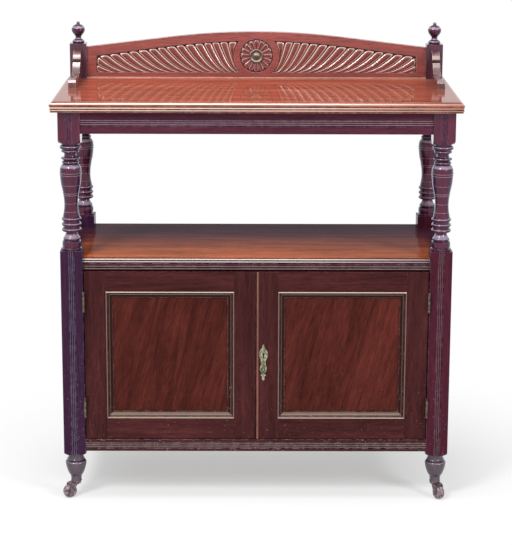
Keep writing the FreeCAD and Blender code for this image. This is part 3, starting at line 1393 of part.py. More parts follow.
# ---------------------------------------------------------------- slide bolts of the left door

guides = []
REST_GAP = "slide_bolt_rest_gap"
BOLT_RANGES = {
    "top": (f"({DOOR_TOP} - {REST_GAP} - slide_bolt_length)", f"({DOOR_TOP} - {REST_GAP})"),
    "bottom": (f"({DOOR_BOTTOM} + {REST_GAP})", f"({DOOR_BOTTOM} + {REST_GAP} + slide_bolt_length)"),
}
PLATE_BACK = f"({DOOR_BACK} + slide_bolt_plate_thickness)"
STAPLE_BACK = f"({SLIDE_BOLT_BACK} + side_clearance + slide_bolt_staple_wall)"
for place_name, bolt_range in BOLT_RANGES.items():
    middle = f"(({bolt_range[0]} + {bolt_range[1]}) / 2)"
    centre_line = (SLIDE_BOLT_X, SLIDE_BOLT_X)
    channel = widened(centre_line, "(slide_bolt_width / 2 + side_clearance)")
    plate_range = widened((middle, middle), "slide_bolt_plate_length / 2")
    parts = [board(f"{place_name}_guide_plate", widened(centre_line, "slide_bolt_plate_width / 2"),
                   (DOOR_BACK, PLATE_BACK), plate_range)]
    for end, edge in (("low", f"({plate_range[0]} + slide_bolt_staple_height / 2)"),
                      ("high", f"({plate_range[1]} - slide_bolt_staple_height / 2)")):
        parts.append(board(f"{place_name}_staple_{end}", widened(channel, "slide_bolt_staple_wall"),
                           (f"({PLATE_BACK} - slide_bolt_plate_thickness / 2)", STAPLE_BACK),
                           widened((edge, edge), "slide_bolt_staple_height / 2")))
    bore = board(f"{place_name}_channel", channel, (PLATE_BACK, f"({SLIDE_BOLT_BACK} + side_clearance)"),
                 widened(plate_range, "slide_bolt_staple_height"))
    guides.append(cut(f"{place_name}_guide", fuse(f"{place_name}_guide_blank", parts), [bore]))
    bar = board(f"{place_name}_bar", widened(centre_line, "slide_bolt_width / 2"),
                (SLIDE_BOLT_FRONT, SLIDE_BOLT_BACK), bolt_range)
    knob = rod(f"{place_name}_knob", (SLIDE_BOLT_X, middle), "slide_bolt_knob_radius",
               f"({SLIDE_BOLT_BACK} - slide_bolt_thickness / 2)",
               f"({SLIDE_BOLT_BACK} + slide_bolt_knob_length)", "y")
    node(fuse(f"{place_name}_bolt", [bar, knob]), f"{place_name}_bolt")
group("bolt_guides", guides)

# ---------------------------------------------------------------- checks and files

doc.recompute()
failed = [item.Name for item in doc.Objects if "Invalid" in item.State or "Error" in item.State]
if failed:
    raise RuntimeError(f"these objects failed: {failed}")

os.makedirs("parts", exist_ok=True)
for name, item in nodes.items():
    shape = item.Shape
    if shape.isNull() or not shape.isValid() or not shape.Solids:
        raise RuntimeError(f"{name} has no sound shape")
    shape.exportStep(f"parts/{name}.step")
    print(f"{name}: {len(shape.Solids)} solids, {shape.Volume / 1000:.1f} cm3")
print(len(nodes), "nodes")
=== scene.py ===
"""Chiffonier in French polished mahogany, with a carved gallery, turned columns and casters."""
import logging
import math
from dataclasses import dataclass, replace
from enum import Enum
from functools import cached_property
from typing import Callable

import bmesh
import bpy
from mathutils import Matrix, Vector


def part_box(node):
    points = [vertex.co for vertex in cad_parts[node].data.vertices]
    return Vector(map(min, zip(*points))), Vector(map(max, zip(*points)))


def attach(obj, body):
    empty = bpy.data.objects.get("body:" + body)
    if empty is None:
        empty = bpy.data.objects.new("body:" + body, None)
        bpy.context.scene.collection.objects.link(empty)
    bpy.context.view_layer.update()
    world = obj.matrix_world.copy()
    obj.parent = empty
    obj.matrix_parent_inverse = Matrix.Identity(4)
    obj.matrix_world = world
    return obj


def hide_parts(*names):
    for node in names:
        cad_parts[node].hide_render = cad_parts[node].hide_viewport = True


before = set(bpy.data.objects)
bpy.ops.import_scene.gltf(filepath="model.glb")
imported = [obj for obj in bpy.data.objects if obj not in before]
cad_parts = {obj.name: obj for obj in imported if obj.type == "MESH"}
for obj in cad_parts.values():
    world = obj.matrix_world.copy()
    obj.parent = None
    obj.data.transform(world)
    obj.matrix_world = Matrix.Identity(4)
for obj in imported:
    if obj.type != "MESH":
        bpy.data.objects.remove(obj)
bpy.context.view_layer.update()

LOG = logging.getLogger("chiffonier")
MM = 0.001
MM_IN_METRE = 1000.0
WHITE = (1.0, 1.0, 1.0, 1.0)

# Angles in degrees over which an edge of plain, turned and carved work stays sharp.
PLAIN_ANGLE, TURNED_ANGLE, CARVED_ANGLE = 40.0, 50.0, 60.0

Socket = bpy.types.NodeSocket
Span = tuple[float, float]
Place = tuple[float, float, float]

# Numbers of the Mix node's sockets.
MIX_SHARE, MIX_VECTOR_UNDER, MIX_VECTOR_OVER, MIX_COLOUR_UNDER, MIX_COLOUR_OVER = 0, 4, 5, 6, 7
MIXED_VECTOR, MIXED_COLOUR = 1, 2


class Grain(Enum):
    """Direction in which the wood's fibres run."""

    ALONG_X = "x"
    ALONG_Y = "y"
    ALONG_Z = "z"


class Reeds(Enum):
    """How the reeds and beads of a board lie, as the way toward which their painted highlights lean: up for
    lying ones, to the left for upright ones.
    """

    LYING = (0.0, 0.0, 1.0)
    UPRIGHT = (-1.0, 0.0, 0.0)


def linear(hex_colour: str) -> tuple[float, float, float, float]:
    """Turn an sRGB hex colour to linear light.

    Args:
        hex_colour: Six hex digits with a leading #.

    Returns:
        Linear red, green, blue and an alpha of one.
    """
    parts = [int(hex_colour[i:i + 2], 16) / 255 for i in (1, 3, 5)]
    light = [p / 12.92 if p <= 0.04045 else ((p + 0.055) / 1.055) ** 2.4 for p in parts]
    return (light[0], light[1], light[2], 1.0)


class Wiring:
    """Nodes of one material or of the world."""

    def __init__(self, tree: bpy.types.NodeTree) -> None:
        """Start with an empty node tree."""
        tree.nodes.clear()
        self.tree = tree

    def add(self, kind: str, settings: dict | None = None, links: dict | None = None) -> bpy.types.Node:
        """Add a shader node with its settings and its incoming links.

        Args:
            kind: Blender's type name without the leading ShaderNode.
            settings: Values by attribute or socket name; "stops" holds a ramp's places and colours.
            links: Source sockets by the name or number of the socket that each one feeds.

        Returns:
            The new node.
        """
        node = self.tree.nodes.new("ShaderNode" + kind)
        for key, value in (settings or {}).items():
            if key == "stops":
                for stop, (position, colour) in zip(node.color_ramp.elements, value, strict=True):
                    stop.position = position
                    stop.color = linear(colour)
            elif isinstance(key, str) and hasattr(node, key):
                setattr(node, key, value)
            else:
                node.inputs[key].default_value = value
        for key, source in (links or {}).items():
            self.tree.links.new(source, node.inputs[key])
        return node

    @cached_property
    def place(self) -> Socket:
        """Object coordinates."""
        return self.add("TexCoord").outputs["Object"]

    @cached_property
    def facing(self) -> Socket:
        """Way that the surface faces."""
        return self.add("NewGeometry").outputs["Normal"]

    def along(self, vector: Socket, axis: str) -> Socket:
        """Part of a vector along the axis X, Y or Z."""
        return self.add("SeparateXYZ", None, {"Vector": vector}).outputs[axis]

    def calculated(self, operation: str, first: Socket | float, second: Socket | float = 0.0) -> Socket:
        """Result of a Math node's operation on sockets or plain numbers."""
        pair = {0: first, 1: second}
        plain = {key: value for key, value in pair.items() if not isinstance(value, Socket)}
        return self.add("Math", {"operation": operation} | plain,
                        {key: value for key, value in pair.items() if key not in plain}).outputs[0]

    def product(self, *values: Socket | float) -> Socket:
        """All the values multiplied with each other."""
        result = values[0]
        for value in values[1:]:
            result = self.calculated("MULTIPLY", result, value)
        return result

    def near_to(self, value: Socket, middle: float, room: float) -> Socket:
        """One where a value lies within some room of a middle, and nought elsewhere."""
        return self.add("Math", {"operation": "COMPARE", 1: middle, 2: room}, {0: value}).outputs[0]

    def ranged(self, value: Socket, given: Span = (0.0, 1.0), wanted: Span = (0.0, 1.0)) -> Socket:
        """Value run from a given range onto a wanted one, and held within it."""
        return self.add("MapRange", {"From Min": given[0], "From Max": given[1], "To Min": wanted[0],
                                     "To Max": wanted[1]}, {"Value": value}).outputs[0]

    def uneven(self, roughness: float, value: Socket) -> Socket:
        """Roughness that goes below and above its mean with a value of nought to one."""
        return self.ranged(value, wanted=(roughness * SMOOTHER, roughness * ROUGHER))

    def painted(self, share: Socket, under: Socket, over: str) -> Socket:
        """Colour with a hex colour laid over it, by a share of nought to one."""
        return self.add("Mix", {"data_type": "RGBA", MIX_COLOUR_OVER: linear(over)},
                        {MIX_SHARE: share, MIX_COLOUR_UNDER: under}).outputs[MIXED_COLOUR]

    def seen_rays(self) -> Socket:
        """One for a ray from the camera, off a gloss or through glass, and nought for any other."""
        path = self.add("LightPath").outputs
        seen = self.calculated("MAXIMUM", path["Is Camera Ray"], path["Is Glossy Ray"])
        return self.calculated("MAXIMUM", seen, path["Is Transmission Ray"])


@dataclass(frozen=True)
class Noise:
    """A layer of noise.

    Attributes:
        cells: Blotches in a metre, or in a ribbon of the wood's figure.
        detail: Layers of finer noise on top.
        roughness: Strength of each finer layer.
        distortion: How much the blotches swirl.
    """

    cells: float
    detail: float
    roughness: float = 0.5
    distortion: float = 0.0

    def draw(self, wires: Wiring, place: Socket | None = None) -> Socket:
        """Draw the noise over a place, which is the object's own if none is given."""
        return wires.add("TexNoise", {"Scale": self.cells, "Detail": self.detail,
                                      "Roughness": self.roughness, "Distortion": self.distortion},
                         {"Vector": place or wires.place}).outputs[0]


RIBBONS = Noise(1.0, 4.0, 0.55, 0.4)    # ribbons of figure, 34 mm wide and 420 mm long
# Blotches in such a ribbon.
STREAKS = Noise(4.5, 3.0, 0.65, 0.6)    # dark streaks 7 mm wide and 90 mm long
PORES = Noise(14.0, 2.0, 0.6)           # pores drawn 2.4 mm wide and 30 mm long
# Blotches in a metre.
PATCHES = Noise(60.0, 3.0)              # patches of thin polish, 17 mm
SPECKS = Noise(150.0, 2.0)              # chips, 7 mm apart
SMEARS = Noise(9.0, 4.0)                # smears in the polish, 110 mm
GREEN_SPECKS = Noise(MM_IN_METRE / 2.2, 3.0)    # specks of green on brass, 2.2 mm
GLAZE_CHIPS = Noise(120.0, 4.0, 0.7)    # chips in a glaze, 8 mm
SCUFFS = Noise(3.0, 2.0)                # scuffs on the floor, 330 mm

# Ranges over which a finish's marks come up, as values of a noise.
RIBBON_LEVELS, STREAK_LEVELS, PORE_LEVELS = (0.3, 0.7), (0.35, 0.65), (0.38, 0.52)
THIN_LEVELS, CHIP_LEVELS, BLOOM_LEVELS = (0.40, 0.60), (0.66, 0.72), (0.50, 0.66)
# The same as cosines of how the surface leans.
ARRIS_LEANS, UPPER_LEANS, EDGE_LEANS = (0.985, 0.86), (0.90, 0.98), (0.90, 0.97)
SHOULDER_END, QUIRK_LEANS, UNDERSIDE_LEANS = (0.55, 0.78), (0.35, 0.6), (0.93, 0.98)
ASLANT_LEANS = (0.08, 0.5)
# The same as shares of the way from a lobe's crown to its groove.
CREST_WAY, GROOVE_WAY = (0.50, 0.74), (0.82, 0.92)
# The same as heights and places in metres.
KNOCK_HEIGHTS = (0.5, 0.12)
# Where the painted light on the top of a board falls off into painted shade: at the right, the ends and the
# back.
SHADED_RIGHT, SHADED_ENDS, SHADED_BACK = (0.1, 0.48), (0.462, 0.488), (-0.22, 0.1)
# Painted lines fade toward the right of a board.
LINES_FADE = (0.15, 0.52)
# Tones of the figure, and shares of painted light, painted lines, painted highlight, painted shade and metal
# over those ranges.
PORE_TONES, STREAK_SHARE, STREAK_PALE = (0.72, 1.0), 0.7, 1.1
RIGHT_LIGHT, END_LIGHT = (1.0, 0.72), (1.0, -0.2)
RIGHT_LINES, UPRIGHT_LINES = (1.0, 0.3), (0.28, 1.0)
EVEN_WEAR, CREST_WEAR = (0.85, 1.0), (0.0, 0.62)
QUIRK_WAX, GROOVE_WAX = (0.0, 0.9), (0.0, 0.95)
BARE_METAL = (1.0, 0.3)
SMOOTHER, ROUGHER = 0.7, 1.4
# A door's rails: shift of their figure, warmth of their colour, and shade and room of their joints.
RAIL_SHIFT, RAIL_WARMTH, JOINT_SHADE, JOINT_ROOM = (3.0, 1.0, 2.0), 1.12, 0.35, 0.5 * MM
ARRIS_RADIUS = 1.6 * MM    # how far wear has rounded the arrises


@dataclass(frozen=True)
class Finish:
    """A named finish."""

    name: str

    def surface(self, wires: Wiring) -> Socket:
        """Wire the finish up.

        Args:
            wires: Nodes of the material, still without any.

        Returns:
            The finish's shader.
        """
        raise NotImplementedError

    def material(self) -> bpy.types.Material:
        """Make the node material of this finish."""
        material = bpy.data.materials.new(self.name)
        material.use_nodes = True
        wires = Wiring(material.node_tree)
        wires.add("OutputMaterial", None, {"Surface": self.surface(wires)})
        return material


@dataclass(frozen=True)
class PolishedMahogany(Finish):
    """Mahogany stained and French polished: shellac film over long straight grain.

    The fibres give dark pores about 0.3 mm wide and 5 to 20 mm long, drawn a few times coarser so
    that they show, over ribbon figure some 34 mm wide; the film gives a clear second gloss.

    Attributes:
        grain: Way the fibres run.
        body: Colour of the stained wood.
        figure: How much the ribbons lighten and darken it.
        roughness: Mean roughness of the surface.
        specular: Strength of the wood's own gloss.
        gloss: Weight of the shellac film.
        ribbon_mm: Width of a ribbon.
        run_mm: Length of a ribbon.
        flame: How much the ribbons swirl.
        lean: Angle of the ribbons to the board, in radians.
        worn: Colour of rubbed wood and of painted highlights.
        wear: How much its arrises are rubbed pale, which also paints highlights on them.
        knocks: How much it is chipped near the floor.
        carved: Whether it has the attribute edge, which runs from a lobe's crown to its groove.
        hollow: Colour of the painted shade in quirks, dark lines and carved grooves.
        moulded: Strength of the painted highlight on upward shoulders of reeds, beads and turnings, with
            painted shade under them.
        shoulder: Leans between which that painted highlight starts.
        film: Refractive index of the shellac film.
        reeds: How its reeds lie.
        sheen: Tint of the wood's own gloss.
        rails: Inner and outer end of a door's rails, where the fibres lie across.
        faded: Colour of upper surfaces lit by painted light.
        faded_back: Share of that painted light at the back of a board.
        aslant: Colour of the painted shade where it is seen aslant.
        lines: Painted highlight lines (strength above nought) and painted shade lines (below) along a
        moulding, with where they start and end in millimetres, as a height or as a way in from the rim.
        rim: Left, right, low and high outer edge of a door's moulding.
    """

    grain: Grain
    body: str
    figure: float = 0.28
    roughness: float = 0.26
    specular: float = 0.28
    gloss: float = 0.0
    ribbon_mm: float = 34.0
    run_mm: float = 420.0
    flame: float = 0.0
    lean: float = 0.0
    worn: str = "#b08a78"
    wear: float = 0.35
    knocks: float = 0.3
    carved: bool = False
    hollow: str = "#1a0c0c"
    moulded: float = 0.0
    shoulder: Span = (0.06, 0.22)
    film: float = 1.5
    reeds: Reeds = Reeds.LYING
    sheen: str = "#ffffff"
    rails: Span | None = None
    faded: str = ""
    faded_back: float = 1.0
    aslant: str = ""
    lines: tuple[tuple[float, float, float], ...] = ()
    rim: tuple[float, float, float, float] | None = None

    def figured(self, wires: Wiring) -> tuple[Socket, Socket]:
        """Draw ribbon figure, streaks and pores along the fibres.

        Args:
            wires: Nodes of the material.

        Returns:
            The colour and the height of the pores.
        """
        across, along = MM_IN_METRE / self.ribbon_mm, MM_IN_METRE / self.run_mm
        scale = {Grain.ALONG_X: (along, across, across), Grain.ALONG_Y: (across, along, across),
                 Grain.ALONG_Z: (across, across, along)}[self.grain]
        leaned = wires.add("Mapping", {"Rotation": (0.0, self.lean, 0.0)}, {"Vector": wires.place})
        drawn = wires.add("Mapping", {"Scale": scale}, {"Vector": leaned.outputs[0]}).outputs[0]
        if self.rails:
            lying = wires.add("Mapping", {"Scale": (along, across, across), "Location": RAIL_SHIFT},
                              {"Vector": wires.place}).outputs[0]
            drawn = wires.add("Mix", {"data_type": "VECTOR"},
                              {MIX_SHARE: self.on_rail(wires), MIX_VECTOR_UNDER: drawn,
                               MIX_VECTOR_OVER: lying}).outputs[MIXED_VECTOR]
        ribbon = replace(RIBBONS, distortion=RIBBONS.distortion + self.flame).draw(wires, drawn)
        pores = PORES.draw(wires, drawn)
        tone = wires.product(
            wires.ranged(ribbon, RIBBON_LEVELS, (1.0 - self.figure, 1.0 + self.figure)),
            wires.ranged(STREAKS.draw(wires, drawn), STREAK_LEVELS,
                         (1.0 - self.figure * STREAK_SHARE, STREAK_PALE)),
            wires.ranged(pores, PORE_LEVELS, PORE_TONES))
        if self.rails:
            joint = wires.calculated("SUBTRACT", self.on_rail(wires, JOINT_ROOM),
                                     self.on_rail(wires, -JOINT_ROOM))
            tone = wires.product(tone, wires.ranged(self.on_rail(wires), wanted=(1.0, RAIL_WARMTH)),
                                 wires.ranged(joint, wanted=(1.0, JOINT_SHADE)))
        colour = wires.add("VectorMath", {"operation": "SCALE", 0: linear(self.body)[:3]}, {"Scale": tone})
        return colour.outputs[0], pores

    def on_rail(self, wires: Wiring, room: float = 0.0) -> Socket:
        """One on a door's rails and some room past their joints, and nought on its stiles."""
        near, far = self.rails
        side = wires.calculated("ABSOLUTE", wires.along(wires.place, "X"))
        return wires.near_to(side, (near + far) / 2, (far - near) / 2 + room)

    def rubbed(self, wires: Wiring, colour: Socket, rounded: Socket) -> Socket:
        """Rub and chip the polish, and paint highlights and shade on mouldings, turnings and carving.

        Args:
            wires: Nodes of the material.
            colour: Colour of the sound polish.
            rounded: Way that the surface faces with its arrises rounded by wear.

        Returns:
            The colour with its wear, painted highlights and painted shade.
        """
        turned = wires.add("VectorMath", {"operation": "DOT_PRODUCT"},
                           {0: rounded, 1: wires.facing}).outputs["Value"]
        thin = wires.ranged(PATCHES.draw(wires), THIN_LEVELS)
        low = wires.ranged(wires.along(wires.place, "Z"), KNOCK_HEIGHTS, (0.0, self.knocks))
        # Rubbed and chipped arrises; the pale arrises also stand as painted highlights.
        share = wires.calculated(
            "MAXIMUM", wires.product(wires.ranged(turned, ARRIS_LEANS, (0.0, self.wear)), thin),
            wires.product(wires.ranged(SPECKS.draw(wires), CHIP_LEVELS), low))
        if self.faded:
            colour = self.bleached(wires, colour)
        if self.moulded:
            share, filled = self.moulding_marks(wires, share, thin)
            colour = wires.painted(filled, colour, self.hollow)
        if self.lines:
            share, filled = self.line_marks(wires, share)
            colour = wires.painted(filled, colour, self.hollow)
        if self.carved:
            share, filled = self.carving_marks(wires, share)
            colour = wires.painted(filled, colour, self.hollow)
        return wires.painted(share, colour, self.worn)

    def bleached(self, wires: Wiring, colour: Socket) -> Socket:
        """Paint light on the upper surface, less at its right, back and ends, where painted shade falls
        instead.

        Args:
            wires: Nodes of the material.
            colour: Colour of the sound polish.

        Returns:
            The colour with its painted light.
        """
        side = wires.along(wires.place, "X")
        daylight = wires.product(
            wires.ranged(side, SHADED_RIGHT, RIGHT_LIGHT),
            wires.ranged(wires.along(wires.place, "Y"), SHADED_BACK, (1.0, self.faded_back)),
            wires.ranged(wires.calculated("ABSOLUTE", side), SHADED_ENDS, END_LIGHT))
        upper = wires.ranged(wires.along(wires.facing, "Z"), UPPER_LEANS)
        lighter = tuple(pale / deep for pale, deep in zip(linear(self.faded)[:3], linear(self.body)[:3]))
        tinted = wires.add("VectorMath", {"operation": "MULTIPLY", 1: lighter}, {0: colour}).outputs[0]
        return wires.add("Mix", {"data_type": "RGBA"},
                         {MIX_SHARE: wires.product(upper, daylight), MIX_COLOUR_UNDER: colour,
                          MIX_COLOUR_OVER: tinted}).outputs[MIXED_COLOUR]

    def moulding_marks(self, wires: Wiring, share: Socket, thin: Socket) -> tuple[Socket, Socket]:
        """Paint highlights on the shoulders of reeds and beads, and paint shade in their quirks.

        Args:
            wires: Nodes of the material.
            share: Share of wear and painted highlight so far.
            thin: Patches where the polish is thin.

        Returns:
            The share of wear and painted highlight, and the share of painted shade.
        """
        upward = wires.add("VectorMath", {"operation": "DOT_PRODUCT", 1: self.reeds.value},
                           {0: wires.facing}).outputs["Value"]
        below = wires.product(upward, -1.0)
        band = wires.product(wires.ranged(upward, self.shoulder, (0.0, self.moulded)),
                             wires.ranged(upward, SHOULDER_END, (1.0, 0.0)),
                             wires.ranged(thin, wanted=EVEN_WEAR))
        filled = wires.product(wires.ranged(below, QUIRK_LEANS, QUIRK_WAX),
                               wires.ranged(below, UNDERSIDE_LEANS, (1.0, 0.0)))
        return wires.calculated("MAXIMUM", share, band), filled

    def carving_marks(self, wires: Wiring, share: Socket) -> tuple[Socket, Socket]:
        """Paint highlights along the edges of lobes and petals, and paint shade in the grooves between them.

        Args:
            wires: Nodes of the material.
            share: Share of wear and painted highlight so far.

        Returns:
            The share of wear and painted highlight, and the share of painted shade.
        """
        out = wires.add("Attribute", {"attribute_name": "edge"}).outputs["Fac"]
        filled = wires.ranged(out, GROOVE_WAY, GROOVE_WAX)
        share = wires.calculated("MAXIMUM", share, wires.ranged(out, CREST_WAY, CREST_WEAR))
        return wires.add("Math", {"operation": "SUBTRACT", "use_clamp": True},
                         {0: share, 1: filled}).outputs[0], filled

    def reach(self, wires: Wiring) -> tuple[Socket, Socket]:
        """Measure the height, or on a door's moulding the way in from its outer edge.

        Args:
            wires: Nodes of the material.

        Returns:
            The measure, in metres, and the share of painted highlight there: less on a moulding's uprights
            and on the right of a board, away from the key light.
        """
        side, height = (wires.along(wires.place, axis) for axis in "XZ")
        if self.rim is None:
            return height, wires.ranged(side, LINES_FADE, RIGHT_LINES)
        left, right, low, high = self.rim
        gaps = []
        for value, near, far in ((wires.calculated("ABSOLUTE", side), left, right), (height, low, high)):
            off = wires.calculated("ABSOLUTE", wires.calculated("SUBTRACT", value, (near + far) / 2))
            gaps.append(wires.calculated("SUBTRACT", (far - near) / 2, off))
        lying = wires.calculated("LESS_THAN", gaps[1], gaps[0])
        return wires.calculated("MINIMUM", *gaps), wires.ranged(lying, wanted=UPRIGHT_LINES)

    def line_marks(self, wires: Wiring, share: Socket) -> tuple[Socket, Socket]:
        """Draw the painted highlight lines and the painted shade lines along a moulding.

        Args:
            wires: Nodes of the material.
            share: Share of wear and painted highlight so far.

        Returns:
            The share of wear and painted highlight, and the share of painted shade.
        """
        reach, wear = self.reach(wires)
        edge = wires.ranged(wires.along(wires.facing, "Z"), EDGE_LEANS, (1.0, 0.0))
        marks = {True: share, False: None}
        for near, far, strength in self.lines:
            rubbed = strength > 0
            line = wires.near_to(reach, (near + far) / 2 * MM, (far - near) / 2 * MM)
            line = wires.product(line, abs(strength), edge, *([wear] if rubbed else []))
            marks[rubbed] = wires.calculated("MAXIMUM", marks[rubbed], line) if marks[rubbed] else line
        return marks[True], marks[False]

    def surface(self, wires: Wiring) -> Socket:
        """Wire the finish up, and return its shader."""
        rounded = wires.add("Bevel", {"samples": 4, "Radius": ARRIS_RADIUS}).outputs[0]
        colour, pores = self.figured(wires)
        # Painted shade: the colour darkens where the surface is seen aslant.
        if self.aslant:
            aside = wires.add("LayerWeight", {"Blend": 0.5}).outputs["Facing"]
            colour = wires.painted(wires.ranged(aside, ASLANT_LEANS), colour, self.aslant)
        bump = wires.add("Bump", {"Strength": 0.10, "Distance": 0.3 * MM},
                         {"Height": pores, "Normal": rounded}).outputs[0]
        return wires.add("BsdfPrincipled", {"IOR": 1.5, "Specular IOR Level": self.specular,
                                            "Coat Weight": self.gloss, "Coat Roughness": 0.07,
                                            "Coat IOR": self.film, "Specular Tint": linear(self.sheen)},
                         {"Base Color": self.rubbed(wires, colour, rounded),
                          "Roughness": wires.uneven(self.roughness, SMEARS.draw(wires)),
                          "Normal": bump}).outputs[0]


@dataclass(frozen=True)
class CastBrass(Finish):
    """Brass that has darkened in the air, with pale rubbed places and specks of dull green.

    Rubbed patches are patch_mm wide, and green is the share of verdigris where it is thickest.
    """

    metal: str
    tarnish: str
    verdigris: str
    roughness: float = 0.38
    patch_mm: float = 7.0
    green: float = 0.3

    def surface(self, wires: Wiring) -> Socket:
        """Wire the finish up, and return its shader."""
        patches = Noise(MM_IN_METRE / self.patch_mm, 5.0, 0.6).draw(wires)
        specks = GREEN_SPECKS.draw(wires)
        tone = wires.add("ValToRGB", {"stops": ((0.34, self.tarnish), (0.66, self.metal))},
                         {"Fac": patches}).outputs[0]
        bloom = wires.ranged(specks, BLOOM_LEVELS, (0.0, self.green))
        bump = wires.add("Bump", {"Strength": 0.25, "Distance": 0.2 * MM}, {"Height": specks}).outputs[0]
        return wires.add("BsdfPrincipled", None,
                         {"Base Color": wires.painted(bloom, tone, self.verdigris),
                          "Roughness": wires.uneven(self.roughness, patches),
                          "Metallic": wires.ranged(bloom, wanted=BARE_METAL), "Normal": bump}).outputs[0]


@dataclass(frozen=True)
class GlazedPottery(Finish):
    """Brown and cream pottery wheel: clay under a glassy glaze that is chipped on the tread."""

    glaze: str
    clay: str

    def surface(self, wires: Wiring) -> Socket:
        """Wire the finish up, and return its shader."""
        chips = GLAZE_CHIPS.draw(wires)
        tone = wires.add("ValToRGB", {"stops": ((0.42, self.glaze), (0.60, self.clay))}, {"Fac": chips})
        return wires.add("BsdfPrincipled", {"IOR": 1.5},
                         {"Base Color": tone.outputs[0],
                          "Roughness": wires.ranged(chips, wanted=(0.12, 0.5))}).outputs[0]


@dataclass(frozen=True)
class PaintedFloor(Finish):
    """Matt white painted studio floor that runs out into the white surround.

    Attributes:
        colour: Colour of the clean paint.
        scuffed: Colour of the scuffed paint.
        clear_near: Share of plain white in the middle.
        clear_reach: Distances between which that share grows to one, in metres.
    """

    name: str = "matt_white_paint"
    colour: str = "#f8f8f8"
    scuffed: str = "#f4f4f4"
    clear_near: float = 0.45
    clear_reach: Span = (0.3, 1.2)

    def surface(self, wires: Wiring) -> Socket:
        """Wire the finish up, and return its shader."""
        tone = wires.add("ValToRGB", {"stops": ((0.0, self.scuffed), (1.0, self.colour))},
                         {"Fac": SCUFFS.draw(wires)}).outputs[0]
        paint = wires.add("BsdfDiffuse", None, {"Color": tone}).outputs[0]
        far = wires.add("VectorMath", {"operation": "LENGTH"}, {0: wires.place}).outputs["Value"]
        out = wires.add("MapRange", {"interpolation_type": "SMOOTHSTEP", "From Min": self.clear_reach[0],
                                     "From Max": self.clear_reach[1], "To Min": self.clear_near},
                        {"Value": far}).outputs[0]
        white = wires.add("Emission", {"Color": WHITE, "Strength": 1.0}).outputs[0]
        return wires.add("MixShader", None, {0: wires.product(out, wires.seen_rays()), 1: paint,
                                             2: white}).outputs[0]


@dataclass(frozen=True)
class Softbox:
    """One square area lamp, with its place and aim in metres, its side in metres and its watts."""

    name: str
    place: Place
    aim: Place
    size: float
    power: float

    def hang(self) -> None:
        """Make the lamp and turn it to its aim."""
        data = bpy.data.lights.new(self.name, "AREA")
        data.size = self.size
        data.energy = self.power
        lamp = bpy.data.objects.new(self.name, data)
        bpy.context.scene.collection.objects.link(lamp)
        lamp.location = self.place
        lamp.rotation_euler = (Vector(self.aim) - Vector(self.place)).to_track_quat("-Z", "Y").to_euler()


@dataclass
class Studio:
    """Pale floor, soft light and the camera, in metres and degrees.

    The white surround lights the piece by the strength surround, and the camera sees to far_end.
    """

    floor_size: float = 40.0
    surround: float = 0.45
    softboxes: tuple[Softbox, ...] = (
        Softbox("key_softbox", (-1.7, -2.9, 3.5), (0, 0, 0.8), 1.0, 120.0),
        Softbox("fill_softbox", (2.8, -3.0, 2.4), (0, 0, 0.8), 0.75, 65.0),
        Softbox("overhead_softbox", (-0.2, -0.4, 3.6), (0, 0, 0.6), 1.4, 50.0))
    camera_place: Place = (-0.0202, -5.0, 1.8018)
    camera_pitch: float = 12.8914
    camera_yaw: float = -0.2281
    camera_roll: float = 0.182
    focal_mm: float = 123.396
    sensor_mm: float = 36.0
    shift_y: float = -0.05
    far_end: float = 100.0

    def build(self) -> None:
        """Make the floor, the world, the lamps and the camera."""
        select_none()
        bpy.ops.mesh.primitive_plane_add(size=self.floor_size, location=(0, 0, 0))
        floor = bpy.context.active_object
        floor.name = "studio_floor"
        floor.data.materials.append(PaintedFloor().material())
        self.light_world()
        for softbox in self.softboxes:
            softbox.hang()
        self.place_camera()

    def light_world(self) -> None:
        """White surround for camera and gloss, plain grey light for the rest."""
        world = bpy.data.worlds.new("white_surround")
        bpy.context.scene.world = world
        world.use_nodes = True
        wires = Wiring(world.node_tree)
        strength = wires.ranged(wires.seen_rays(), wanted=(self.surround, 1.0))
        light = wires.add("Background", {"Color": WHITE}, {"Strength": strength})
        wires.add("OutputWorld", None, {"Surface": light.outputs[0]})

    def place_camera(self) -> None:
        """Set the camera at its place, turn and lens."""
        data = bpy.data.cameras.new("camera")
        data.sensor_width = self.sensor_mm
        data.lens = self.focal_mm
        data.shift_y = self.shift_y
        data.clip_end = self.far_end
        camera = bpy.data.objects.new("camera", data)
        bpy.context.scene.collection.objects.link(camera)
        turn = (Matrix.Rotation(math.radians(self.camera_yaw), 4, "Z")
                @ Matrix.Rotation(math.radians(90 - self.camera_pitch), 4, "X")
                @ Matrix.Rotation(math.radians(self.camera_roll), 4, "Z"))
        camera.matrix_world = Matrix.Translation(Vector(self.camera_place)) @ turn
        bpy.context.scene.camera = camera


